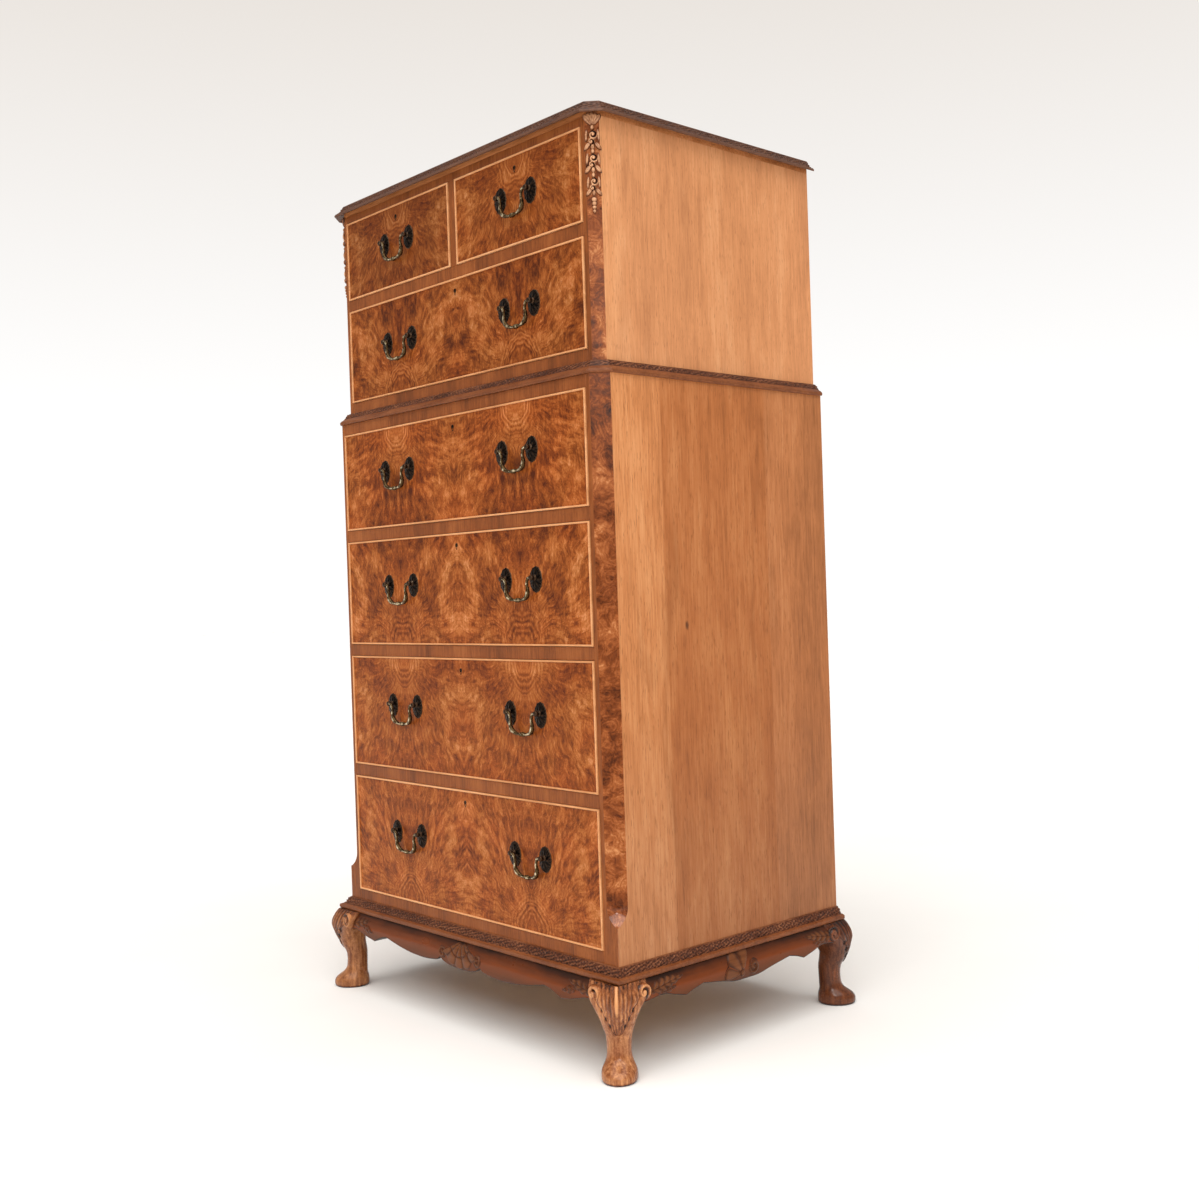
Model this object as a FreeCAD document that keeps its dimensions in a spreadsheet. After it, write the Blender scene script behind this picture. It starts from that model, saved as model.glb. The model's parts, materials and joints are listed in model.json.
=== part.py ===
import FreeCAD, Part
import math
import os
import re
import Sketcher

# A tall chest of drawers: an upper case on a lower case, on a stand with four cabriole legs.
# Millimetres, +Z up. The origin is on the floor, midway between the four feet. The drawers
# face -Y, +X is to the right of a person who looks at them.

SIZES = {
    # heights of the main parts, from the floor
    "stand_top": 148,
    "lower_top": 1078.5,
    "upper_top": 1476,
    "whole_top": 1498,
    # the two cases: half widths, front planes, back plane
    "lower_half": 380,
    "upper_half": 365,
    "lower_face": -258,
    "upper_face": -243,
    "back_face": 272,
    # carcase timber
    "side_board": 18,
    "back_board": 10,
    "flat_board": 18,
    "dust_board": 6,
    "stile_deep": 50,
    "rail_deep": 60,
    "runner_wide": 42,
    "guide_high": 18,
    "partition_half": 10,
    # canted corners, and the height at which the lower cant runs out in a point
    "lower_cant": 23,
    "upper_cant": 16,
    "tongue_low": 229,
    "tongue_mid": 240,
    "tongue_high": 261,
    "tongue_mid_cant": 14,
    "tongue_tip_cant": 0.4,
    # drawers: half widths over the cock bead, bead and box sizes, clearances
    "lower_row_half": 347,
    "upper_row_half": 338,
    "gap": 0.6,
    "bead": 3,
    "bead_proud": 2.6,
    "bead_round": 1.3,
    "front_thick": 20,
    "drawer_end": 237,
    "drawer_side": 10,
    "drawer_back": 9,
    "drawer_floor": 6,
    "floor_up": 9,
    "groove": 5,
    "run_gap": 0.3,
    "side_gap": 1.2,
    "side_down": 5,
    "back_down": 14,
    "cut_past": 1,
    # drawer rows: lower and upper edge of the cock bead
    "sixth_low": 189.6,
    "sixth_high": 407.8,
    "fifth_low": 430.8,
    "fifth_high": 636.6,
    "fourth_low": 659.1,
    "fourth_high": 852.8,
    "third_low": 875.6,
    "third_high": 1057.5,
    "second_low": 1120,
    "second_high": 1293.5,
    "top_low": 1315.5,
    "top_high": 1461.9,
    # height of the middle of the handle plates in each row
    "sixth_plate": 314,
    "fifth_plate": 547.5,
    "fourth_plate": 766.5,
    "third_plate": 976.5,
    "second_plate": 1213.5,
    "top_plate": 1395,
    # handles: bolt spacing, plate, bolt, ball, nut, bail
    "handle_at": 174,
    "bolt_half": 39,
    "plate_half_wide": 16,
    "plate_half_high": 22,
    "plate_dome": 4.5,
    "pin_up": 3,
    "pin_out": 10.5,
    "bolt_round": 2.8,
    "bolt_play": 0.1,
    "ball_round": 4.8,
    "pin_hole": 1.75,
    "pin_round": 1.68,
    "nut_round": 8,
    "nut_thick": 4,
    "bolt_tail": 7,
    "bail_round": 2.9,
    "bail_bend": 4,
    "bail_gap": 1,
    "pin_root": 3,
    "pin_past": 2,
    "shoulder_half": 30,
    "waist_half": 28.6,
    "waist_down": 13,
    "hip_half": 32,
    "hip_down": 27,
    "hip_corner": 26,
    "bail_down": 37,
    # keyhole and lock
    "key_down": 21,
    "key_round": 2.2,
    "lining_round": 3.6,
    "lining_deep": 4,
    "lock_half": 30,
    "lock_high": 42,
    "lock_wall": 8,
    # stand: foot centres, corner blocks, swelled aprons
    "foot_x": 379,
    "foot_y": 262,
    "block": 44,
    "block_low": 118,
    "block_inset": 1,
    "apron_top_out": 13,
    "apron_mid_out": 24,
    "apron_mid_z": 117,
    "apron_flat_half": 8,
    "apron_neck_out": 2,
    "apron_neck_down": 10,
    "apron_low_out": 21,
    "apron_low_z": 94,
    "apron_thick": 12,
    "edge_run_on": 10,
    "rear_rail_low": 100,
    "rear_rail_thick": 22,
    "rear_rail_in": 3,
    "glue_block": 26,
    "glue_block_half": 35,
    "glue_block_at": 90,
    # drop ornaments on the upper corners
    "drop_top": 1474,
    "drop_low": 1324,
    "drop_half": 10.5,
    "drop_thick": 6,
}

# Drawer rows from the top down: name, case, whether the row is split in two.
ROWS = (
    ("top", "upper", True),
    ("second", "upper", False),
    ("third", "lower", False),
    ("fourth", "lower", False),
    ("fifth", "lower", False),
    ("sixth", "lower", False),
)

# Cabriole leg: height, how far out along the corner diagonal the section's middle is, half its
# length along that diagonal, and half its width across it.
LEG_SECTIONS = (
    (0, 2, 31, 26.2),
    (4, 2.5, 33, 27.8),
    (10, 2.5, 33.4, 28.6),
    (15, 1.4, 31.6, 27.9),
    (20, -0.9, 28.4, 26),
    (25, -3.6, 24.6, 23.6),
    (31, -6.8, 21, 20.9),
    (42, -8.9, 19.4, 19.2),
    (57, -9.3, 19.4, 19.6),
    (70, -7.2, 20.9, 21.4),
    (84, -3.4, 24, 25.2),
    (98, -3, 26.4, 28.4),
    (114, -5.8, 30, 30.5),
    (126, -12.5, 35.5, 35.5),
    (137, -20, 38.5, 38.5),
    (148, -29, 36, 36),
)

# Lower edge of each half apron, from the middle outwards: distance and height. Each inner
# list is one smooth stretch between two points or cusps.
FRONT_EDGE = (
    ((0, 101), (25, 102.5), (43, 106), (57.7, 113.5)),
    ((57.7, 113.5), (70, 107), (108, 103), (152, 105), (191, 111), (228, 118.5)),
    ((228, 118.5), (246, 114.5), (270, 104.8)),
    ((270, 104.8), (297, 110), (327, 117.5), (350, 117)),
)
SIDE_EDGE = (
    ((0, 101.5), (30, 102.5), (60, 108.7), (106, 116)),
    ((106, 116), (128, 111), (144, 105.3)),
    ((144, 105.3), (168, 111.5), (195, 118), (228, 115)),
)

# Moulding sections: how far out from the case, and height from the underside.
BASE_SECTION = ((0, 0), (15.5, 0), (18, 4), (17.6, 8), (13, 9.2), (9.4, 10.5), (7.6, 15), (4, 20.5), (0, 22))
WAIST_SECTION = ((0, 0), (19, 0), (19.4, 4.8), (14.6, 9), (11.4, 11.4), (6.4, 19.4), (2, 22), (0, 22))
CORNICE_SECTION = ((0, 0), (15.6, 0), (17.3, 1.6), (14, 6.4), (8.3, 10.2), (3.6, 17.5), (0, 22))

# Outline of half a drop ornament: how far down from its top, and half width as a share.
DROP_OUTLINE = (
    (0, 0.8), (0.02, 1), (0.09, 0.95), (0.13, 0.3), (0.17, 0.3), (0.24, 0.9), (0.3, 0.9), (0.37, 0.35),
    (0.42, 0.35), (0.5, 0.85), (0.57, 0.85), (0.63, 0.3), (0.67, 0.3), (0.73, 0.7), (0.8, 0.65), (0.86, 0.35),
    (0.93, 0.3), (1, 0.12),
)

doc = FreeCAD.newDocument("chest")
sheet = doc.addObject("Spreadsheet::Sheet", "Sizes")
for line, (alias, size) in enumerate(SIZES.items(), start=1):
    sheet.set(f"A{line}", str(size))
    sheet.setAlias(f"A{line}", alias)
doc.recompute()

WORD = re.compile(r"[a-z_]+")
nodes = []


def full(text):
    """The expression with the sheet's name put before each size."""
    return WORD.sub(lambda found: "Sizes." + found.group() if found.group() in SIZES else found.group(), text)


def number(text):
    """What an expression comes to now."""
    return float(sheet.evalExpression(full(text)))


def bind(thing, prop, text):
    """Ties one property to an expression of the sheet's sizes."""
    thing.setExpression(prop, full(text))


def put(thing, x=None, y=None, z=None):
    """Ties the place of an object to expressions."""
    for axis, text in (("x", x), ("y", y), ("z", z)):
        if text is not None:
            bind(thing, "Placement.Base." + axis, text)
    return thing


def turn(thing, axis, angle):
    """Turns an object about its own origin."""
    rotation = FreeCAD.Rotation(FreeCAD.Vector(*axis), angle)
    thing.Placement = FreeCAD.Placement(FreeCAD.Vector(0, 0, 0), rotation)
    return thing


def block(name, x, y, z):
    """A box given by the low and high expression on each axis."""
    solid = doc.addObject("Part::Box", name)
    for side, axis, (low, high) in zip(("Length", "Width", "Height"), "xyz", (x, y, z)):
        bind(solid, side, f"({high}) - ({low})")
        bind(solid, "Placement.Base." + axis, low)
    return solid


def span(side, low, high):
    """A stretch of x on the right (side 1) or its mirror image on the left (side -1)."""
    return (low, high) if side > 0 else (f"-({high})", f"-({low})")


def rod(name, radius, length, axis, x, y, z):
    """A cylinder along +Y or +X that starts at a place."""
    solid = doc.addObject("Part::Cylinder", name)
    bind(solid, "Radius", radius)
    bind(solid, "Height", length)
    turn(solid, (-1, 0, 0) if axis == "y" else (0, 1, 0), 90)
    return put(solid, x, y, z)


def cut(name, base, tools):
    """The base with the tools taken away."""
    away = tools[0]
    if len(tools) > 1:
        away = doc.addObject("Part::Compound", name + "_tools")
        away.Links = tools
    solid = doc.addObject("Part::Cut", name)
    solid.Base = base
    solid.Tool = away
    return solid


def group(name, solids):
    """A sub-part made of several separate solids."""
    whole = doc.addObject("Part::Compound", name)
    whole.Links = solids
    return keep(whole, name)


def keep(thing, name):
    """Marks an object as a sub-part that gets a file of its own."""
    thing.Label = name
    nodes.append(thing)
    return thing


def plane_of(body, role):
    """One of a body's own origin planes."""
    return next(item for item in body.Origin.OriginFeatures if item.Role == role)


def sketch_on(body, role, name, height=None):
    """A sketch on an origin plane of its body, moved along the plane's normal if asked."""
    sketch = body.newObject("Sketcher::SketchObject", name)
    sketch.AttachmentSupport = [(plane_of(body, role), "")]
    sketch.MapMode = "FlatFace"
    if height is not None:
        bind(sketch, "AttachmentOffset.Base.z", height)
    return sketch


def corner_at(sketch, line, x, y):
    """Ties the start of a line to a place given by two expressions."""
    for kind, letter, text in (("DistanceX", "x", x), ("DistanceY", "y", y)):
        index = sketch.addConstraint(Sketcher.Constraint(kind, -1, 1, line, 1, number(text)))
        sketch.renameConstraint(index, f"{letter}{line}")
        bind(sketch, f"Constraints.{letter}{line}", text)


def polygon(sketch, corners, closed=True):
    """Straight lines through corners, each corner tied to its two expressions."""
    spots = [FreeCAD.Vector(number(x), number(y), 0) for x, y in corners]
    first = sketch.GeometryCount
    ends = spots[1:] + spots[:1] if closed else spots[1:]
    for start, end in zip(spots, ends):
        sketch.addGeometry(Part.LineSegment(start, end))
    count = len(ends)
    for step in range(count - (0 if closed else 1)):
        after = first + (step + 1) % count
        sketch.addConstraint(Sketcher.Constraint("Coincident", first + step, 2, after, 1))
    for step in range(count):
        corner_at(sketch, first + step, *corners[step])


def oval(sketch, out, half_long, half_cross):
    """A smooth oval about a middle that is moved along the sketch's x axis."""
    turns = [step * math.pi / 6 for step in range(12)]
    spots = [FreeCAD.Vector(out + half_long * math.cos(a), half_cross * math.sin(a), 0) for a in turns]
    curve = Part.BSplineCurve()
    curve.interpolate(Points=spots, PeriodicFlag=True)
    sketch.addGeometry(curve)


def pad(body, sketch, length, name, reverse=False):
    """A pad of a sketch with its length tied to an expression."""
    feature = body.newObject("PartDesign::Pad", name)
    feature.Profile = sketch
    feature.Reversed = reverse
    bind(feature, "Length", length)
    return feature


# ---------------------------------------------------------------- stand


def leg(name, x_side, y_side):
    """A cabriole leg on a pad foot, with the square corner block that the aprons join."""
    body = doc.addObject("PartDesign::Body", name + "_turned")
    sections = []
    for order, (height, out, half_long, half_cross) in enumerate(LEG_SECTIONS):
        sketch = sketch_on(body, "XY_Plane", f"{name}_ring_{order}", str(height))
        oval(sketch, out, half_long, half_cross)
        sections.append(sketch)
    loft = body.newObject("PartDesign::AdditiveLoft", name + "_loft")
    loft.Profile = sections[0]
    loft.Sections = sections[1:]
    corner = {(1, -1): -45, (-1, -1): -135, (1, 1): 45, (-1, 1): 135}[(x_side, y_side)]
    turn(body, (0, 0, 1), corner)
    put(body, f"{x_side} * foot_x", f"{y_side} * foot_y")
    x_range = span(x_side, "lower_half + apron_top_out - block", "lower_half + apron_top_out - block_inset")
    y_face = "-lower_face + apron_top_out" if y_side < 0 else "back_face"
    y_range = span(y_side, f"{y_face} - block", f"{y_face} - block_inset")
    stump = block(name + "_block", x_range, y_range, ("block_low", "stand_top"))
    whole = doc.addObject("Part::Fuse", name)
    whole.Base = body
    whole.Tool = stump
    return keep(whole, name)


def lower_edge(sketch, stretches):
    """The wavy lower edge of an apron on both sides of its middle, closed well below it."""
    end, level = stretches[-1][-1]
    half = end + number("edge_run_on")
    for side in (-1, 1):
        for stretch in stretches:
            curve = Part.BSplineCurve()
            curve.interpolate([FreeCAD.Vector(side * x, z, 0) for x, z in stretch])
            sketch.addGeometry(curve)
        outer = FreeCAD.Vector(side * end, level, 0)
        beyond = FreeCAD.Vector(side * half, level, 0)
        below = FreeCAD.Vector(side * half, 0, 0)
        sketch.addGeometry(Part.LineSegment(outer, beyond))
        sketch.addGeometry(Part.LineSegment(beyond, below))
    sketch.addGeometry(Part.LineSegment(FreeCAD.Vector(-half, 0, 0), FreeCAD.Vector(half, 0, 0)))


def apron_section(sketch, face, side):
    """The swelled section of an apron: flat inside, rounded outwards, narrower at the top."""
    neck = f"{face} + (apron_top_out + apron_mid_out) / 2 + apron_neck_out"
    corners = (
        (f"{side} * ({face} - apron_thick)", "apron_low_z"),
        (f"{side} * ({face} + apron_low_out)", "apron_low_z"),
        (f"{side} * ({face} + apron_mid_out)", "apron_mid_z - apron_flat_half"),
        (f"{side} * ({face} + apron_mid_out)", "apron_mid_z + apron_flat_half"),
        (f"{side} * ({neck})", "stand_top - apron_neck_down"),
        (f"{side} * ({face} + apron_top_out)", "stand_top"),
        (f"{side} * ({face} - apron_thick)", "stand_top"),
    )
    polygon(sketch, corners)


def apron(name, role, edge_role, face, side, half, edge, legs):
    """An apron: a swelled bar, its lower edge cut to the wavy outline, its ends cut to the legs."""
    body = doc.addObject("PartDesign::Body", name + "_board")
    section = sketch_on(body, role, name + "_section")
    apron_section(section, face, side)
    bar = pad(body, section, f"2 * ({half})", name + "_bar")
    bar.Midplane = True
    doc.recompute()
    before = body.Shape.Volume
    outline = sketch_on(body, edge_role, name + "_outline")
    lower_edge(outline, edge)
    trim = body.newObject("PartDesign::Pocket", name + "_trim")
    trim.Profile = outline
    trim.Type = 0
    trim.Midplane = True
    bind(trim, "Length", "4 * lower_half")
    doc.recompute()
    if not body.Shape.Volume < 0.97 * before:
        raise RuntimeError("the outline did not trim " + name)
    return keep(cut(name, body, legs), name)


def base_frame(rear_legs):
    """The plain rear rail, cut to the rear legs, and the blocks glued inside the side aprons."""
    ends = "lower_half + apron_top_out - block"
    outer = "back_face - rear_rail_in"
    bar = block("rear_rail_bar", (f"-({ends})", ends), (f"{outer} - rear_rail_thick", outer),
                ("rear_rail_low", "stand_top"))
    pieces = [cut("rear_rail", bar, rear_legs)]
    for side in (-1, 1):
        x_range = span(side, "lower_half - apron_thick - glue_block", "lower_half - apron_thick")
        for order, middle in enumerate(("-glue_block_at", "glue_block_at")):
            y_range = (f"{middle} - glue_block_half", f"{middle} + glue_block_half")
            pieces.append(block(f"glue_block_{side}_{order}", x_range, y_range,
                                ("stand_top - glue_block", "stand_top")))
    return group("base_frame", pieces)


def moulding(name, section, half, face, cant, low):
    """A moulding round the front and both sides of a case, mitred at the corners."""
    route = doc.addObject("Sketcher::SketchObject", name + "_route")
    corners = [(f"-({half})", "back_face"), (f"-({half})", f"{face} + {cant}")]
    if cant != "0":
        corners += [(f"-({half}) + {cant}", face), (f"{half} - {cant}", face)]
        corners += [(half, f"{face} + {cant}")]
    else:
        corners += [(half, face)]
    corners += [(half, "back_face")]
    polygon(route, corners, closed=False)
    end_line = route.GeometryCount - 1
    for kind, letter, text in (("DistanceX", "x", half), ("DistanceY", "y", "back_face")):
        index = route.addConstraint(Sketcher.Constraint(kind, -1, 1, end_line, 2, number(text)))
        route.renameConstraint(index, letter + "_end")
        bind(route, f"Constraints.{letter}_end", text)
    put(route, z=low)
    profile = doc.addObject("Sketcher::SketchObject", name + "_profile")
    polygon(profile, [(str(-out), str(up)) for out, up in section])
    turn(profile, (1, 0, 0), 90)
    put(profile, f"-({half})", "back_face", low)
    sweep = doc.addObject("Part::Sweep", name)
    sweep.Sections = [profile]
    sweep.Spine = (route, [f"Edge{line + 1}" for line in range(route.GeometryCount)])
    sweep.Solid = True
    sweep.Transition = "Right corner"
    return keep(sweep, name)


# ---------------------------------------------------------------- cases


def stile(name, side, half, face, cant, opening, low, high, tongue):
    """A front stile with its outer corner canted; the lower one keeps a square foot."""
    inner = f"{half} - side_board"
    body = doc.addObject("PartDesign::Body", name)
    outline = [
        (opening, face), (half, face), (half, f"{face} + {cant}"), (inner, f"{face} + {cant}"),
        (inner, f"{face} + stile_deep"), (opening, f"{face} + stile_deep"),
    ]
    sketch = sketch_on(body, "XY_Plane", name + "_outline", low)
    polygon(sketch, [(f"{side} * ({x})", y) for x, y in outline])
    pad(body, sketch, f"{high} - {low}", name + "_bar")
    doc.recompute()
    before = body.Shape.Volume

    def corner(level, size, label):
        """The triangle that is cut away from the corner at one height."""
        spots = [(half, face), (f"{half} - {size}", face), (half, f"{face} + {size}")]
        triangle = sketch_on(body, "XY_Plane", f"{name}_{label}", level)
        polygon(triangle, [(f"{side} * ({x})", y) for x, y in spots])
        return triangle

    pocket = body.newObject("PartDesign::Pocket", name + "_cant")
    pocket.Profile = corner("tongue_high" if tongue else low, cant, "corner")
    pocket.Reversed = True
    bind(pocket, "Length", f"{high} - {'tongue_high' if tongue else low} + cut_past")
    doc.recompute()
    if not body.Shape.Volume < 0.99 * before:
        raise RuntimeError("the cant was not cut on " + name)
    if tongue:
        scoop = body.newObject("PartDesign::SubtractiveLoft", name + "_tongue")
        scoop.Profile = corner("tongue_high", cant, "tongue_top")
        scoop.Sections = [corner("tongue_mid", "tongue_mid_cant", "tongue_middle"),
                          corner("tongue_low", "tongue_tip_cant", "tongue_tip")]
        scoop.Ruled = True
        body.Tip = scoop
    return body


def front_frame(case, rows):
    """Two stiles and the rails between the drawers; the upper case also has its partition."""
    upper = case == "upper"
    half, face, cant = case + "_half", case + "_face", case + "_cant"
    opening = f"{case}_row_half + gap"
    low, high = ("lower_top", "upper_top") if upper else ("stand_top", "lower_top")
    pieces = [
        stile(f"{case}_stile_{side}", side, half, face, cant, opening, low, high, not upper)
        for side in (-1, 1)
    ]
    levels = [low] + [f"{row}_{edge}" for row in rows for edge in ("low", "high")] + [high]
    for order in range(0, len(levels), 2):
        under = levels[order] if order == 0 else f"{levels[order]} + gap"
        over = levels[order + 1] if order == len(levels) - 2 else f"{levels[order + 1]} - gap"
        pieces.append(block(f"{case}_rail_{order}", (f"-({opening})", opening), (face, f"{face} + rail_deep"),
                            (under, over)))
    if upper:
        pieces.append(block("partition_front", ("-partition_half + gap", "partition_half - gap"),
                            (face, f"{face} + rail_deep"), ("top_low - gap", "top_high + gap")))
    return group(case + "_front_frame", pieces)


def carcase(case, rows):
    """What is inside a case: flat boards, runners with dust boards between them, and guides."""
    upper = case == "upper"
    half, face = case + "_half", case + "_face"
    wall = f"{half} - side_board"
    opening = f"{case}_row_half + gap"
    start = f"{face} + rail_deep"
    end = "back_face - back_board"
    low, high = ("lower_top", "upper_top") if upper else ("stand_top", "lower_top")
    width = (f"-({wall})", wall)
    pieces = [block(f"{case}_bottom", width, (start, end), (low, f"{low} + flat_board"))]
    if not upper:
        pieces.append(block(f"{case}_lid", width, (start, end), (f"{high} - flat_board", high)))
    inner = f"{wall} - runner_wide"
    for order, row in enumerate(rows):
        under = f"{low} + flat_board" if order == 0 else f"{rows[order - 1]}_high + gap"
        bed = f"{row}_low - gap"
        for side in (-1, 1):
            pieces.append(block(f"{row}_runner_{side}", span(side, inner, wall), (start, end), (under, bed)))
            pieces.append(block(f"{row}_guide_{side}", span(side, opening, wall), (start, end),
                                (bed, f"{bed} + guide_high")))
        if order > 0:
            middle = f"(({under}) + ({bed})) / 2"
            pieces.append(block(f"{row}_dust_board", (f"-({inner})", inner), (start, end),
                                (f"{middle} - dust_board / 2", f"{middle} + dust_board / 2")))
    if upper:
        middle = "((second_high + gap) + (top_low - gap)) / 2"
        pieces.append(block("middle_runner", ("-runner_wide / 2", "runner_wide / 2"), (start, end),
                            (f"{middle} + dust_board / 2", "top_low - gap")))
        pieces.append(block("middle_guide", ("-partition_half + gap", "partition_half - gap"), (start, end),
                            ("top_low - gap", "top_low - gap + guide_high")))
    return group(case + "_carcase", pieces)


def side_panels(case):
    """The two side boards of a case."""
    half, face, cant = case + "_half", case + "_face", case + "_cant"
    low, high = ("lower_top", "upper_top") if case == "upper" else ("stand_top", "lower_top")
    depth = (f"{face} + {cant}", "back_face")
    pieces = [
        block(f"{case}_side_{side}", span(side, f"{half} - side_board", half), depth, (low, high))
        for side in (-1, 1)
    ]
    return group(case + "_sides", pieces)


def back_panels():
    """The back boards of the two cases."""
    depth = ("back_face - back_board", "back_face")
    pieces = []
    for case, low, high in (("lower", "stand_top", "lower_top"), ("upper", "lower_top", "upper_top")):
        wall = f"{case}_half - side_board"
        pieces.append(block(case + "_back", (f"-({wall})", wall), depth, (low, high)))
    return group("back_panels", pieces)


def top_board():
    """The top of the upper case, with its front corners cut to the cants."""
    body = doc.addObject("PartDesign::Body", "top_board")
    sketch = sketch_on(body, "XY_Plane", "top_outline", "upper_top")
    corners = []
    for side in (-1, 1):
        trio = [("upper_half", "back_face"), ("upper_half", "upper_face + upper_cant"),
                ("upper_half - upper_cant", "upper_face")]
        corners += [(f"{side} * ({x})", y) for x, y in (trio if side < 0 else reversed(trio))]
    polygon(sketch, corners)
    pad(body, sketch, "whole_top - upper_top", "top_pad")
    return keep(body, "top_board")


def corner_pendants():
    """Two drop ornaments, one on each canted corner of the upper case."""
    pieces = []
    for side in (-1, 1):
        body = doc.addObject("PartDesign::Body", f"pendant_{side}")
        sketch = sketch_on(body, "XZ_Plane", f"pendant_outline_{side}")
        half = [(f"drop_half * {share}", f"-(drop_top - drop_low) * {down}") for down, share in DROP_OUTLINE]
        other = [(f"-({x})", z) for x, z in reversed(half)]
        polygon(sketch, half + other)
        pad(body, sketch, "drop_thick", f"pendant_pad_{side}")
        turn(body, (0, 0, 1), 45 * side)
        put(body, f"{side} * (upper_half - upper_cant / 2)", "upper_face + upper_cant / 2", "drop_top")
        pieces.append(body)
    return group("corner_pendants", pieces)


# ---------------------------------------------------------------- drawers and handles


def drawer_front(name, x, z, face, holes):
    """The drawer's front board, bored for the bolts and the key, with a bed for the lock."""
    middle = f"(({x[0]}) + ({x[1]})) / 2"
    board = block(name + "_board", (f"{x[0]} + bead", f"{x[1]} - bead"), (face, f"{face} + front_thick"),
                  (f"{z[0]} + bead", f"{z[1]} - bead"))
    start, through = f"{face} - cut_past", "front_thick + 2 * cut_past"
    tools = [
        rod(f"{name}_bore_{order}", "bolt_round + bolt_play", through, "y", at, start, level)
        for order, (at, level) in enumerate(holes)
    ]
    key_level = f"{z[1]} - key_down"
    tools.append(rod(name + "_key_bore", "key_round", through, "y", middle, start, key_level))
    tools.append(rod(name + "_lining_bed", "lining_round", "lining_deep", "y", middle, face, key_level))
    tools.append(block(name + "_lock_bed", (f"{middle} - lock_half", f"{middle} + lock_half"),
                       (f"{face} + lock_wall", f"{face} + front_thick + cut_past"),
                       (f"{z[1]} - bead - lock_high", f"{z[1]} - bead")))
    return keep(cut(name, board, tools), name)


def cock_bead(name, x, z, face):
    """The bead round a drawer front: a ring of thin strips with a rounded nose."""
    body = doc.addObject("PartDesign::Body", name)
    sketch = sketch_on(body, "XZ_Plane", name + "_outline")
    for inset in ("0", "bead"):
        low = (f"{x[0]} + {inset}", f"{z[0]} + {inset}")
        high = (f"{x[1]} - {inset}", f"{z[1]} - {inset}")
        polygon(sketch, [low, (high[0], low[1]), high, (low[0], high[1])])
    pad(body, sketch, "front_thick + bead_proud", name + "_ring")
    put(body, y=f"{face} + front_thick")
    doc.recompute()
    ring = body.Tip
    nose = min(ring.Shape.Faces, key=lambda face_now: face_now.CenterOfMass.y)
    edges = [
        f"Edge{order}" for order, edge in enumerate(ring.Shape.Edges, start=1)
        if any(edge.isSame(other) for other in nose.Edges)
    ]
    fillet = body.newObject("PartDesign::Fillet", name + "_nose")
    fillet.Base = (ring, edges)
    bind(fillet, "Radius", "bead_round")
    return keep(body, name)


def drawer_box(name, x, z, face):
    """The drawer behind its front: two grooved sides, a back, and a bottom in the grooves."""
    start = f"{face} + front_thick"
    low, high = f"{z[0]} - run_gap", f"{z[1]} - side_down"
    left = (f"{x[0]} + side_gap", f"{x[0]} + side_gap + drawer_side")
    right = (f"{x[1]} - side_gap - drawer_side", f"{x[1]} - side_gap")
    floor_z = (f"{z[0]} + floor_up", f"{z[0]} + floor_up + drawer_floor")
    floor_x = (f"{left[1]} - groove", f"{right[0]} + groove")
    groove_y = (f"{start} - cut_past", "drawer_end + cut_past")
    pieces = []
    for label, (near, far) in (("left", left), ("right", right)):
        board = block(f"{name}_{label}_board", (near, far), (start, "drawer_end"), (low, high))
        bed = block(f"{name}_{label}_groove", floor_x, groove_y, floor_z)
        pieces.append(cut(f"{name}_{label}", board, [bed]))
    pieces.append(block(name + "_back", (left[1], right[0]), ("drawer_end - drawer_back", "drawer_end"),
                        (floor_z[1], f"{z[1]} - back_down")))
    pieces.append(block(name + "_floor", floor_x, (start, "drawer_end"), floor_z))
    return group(name, pieces)


def fixing(name, at, level, face):
    """One end of a handle: domed oval plate, bolt with a bored ball, and the nut inside."""
    dome = doc.addObject("Part::Ellipsoid", name + "_dome")
    bind(dome, "Radius1", "plate_dome")
    bind(dome, "Radius2", "plate_half_wide")
    bind(dome, "Radius3", "plate_half_high")
    dome.Angle1 = 0
    turn(dome, (1, 0, 0), 90)
    put(dome, at, face, f"{level} - pin_up")
    hole = rod(name + "_plate_bore", "bolt_round + bolt_play", "4 * plate_dome", "y", at,
               f"{face} - 2 * plate_dome", level)
    plate = cut(name + "_plate", dome, [hole])
    shank = rod(name + "_shank", "bolt_round", "pin_out + front_thick + bolt_tail", "y", at,
                f"{face} - pin_out", level)
    ball = doc.addObject("Part::Sphere", name + "_ball")
    bind(ball, "Radius", "ball_round")
    put(ball, at, f"{face} - pin_out", level)
    joined = doc.addObject("Part::Fuse", name + "_joined")
    joined.Base = shank
    joined.Tool = ball
    eye = rod(name + "_eye", "pin_hole", "4 * ball_round", "x", f"{at} - 2 * ball_round", f"{face} - pin_out",
              level)
    bolt = cut(name + "_bolt", joined, [eye])
    disc = rod(name + "_disc", "nut_round", "nut_thick", "y", at, f"{face} + front_thick", level)
    thread = rod(name + "_thread", "bolt_round", "3 * nut_thick", "y", at,
                 f"{face} + front_thick - nut_thick", level)
    return [plate, bolt, cut(name + "_nut", disc, [thread])]


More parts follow.
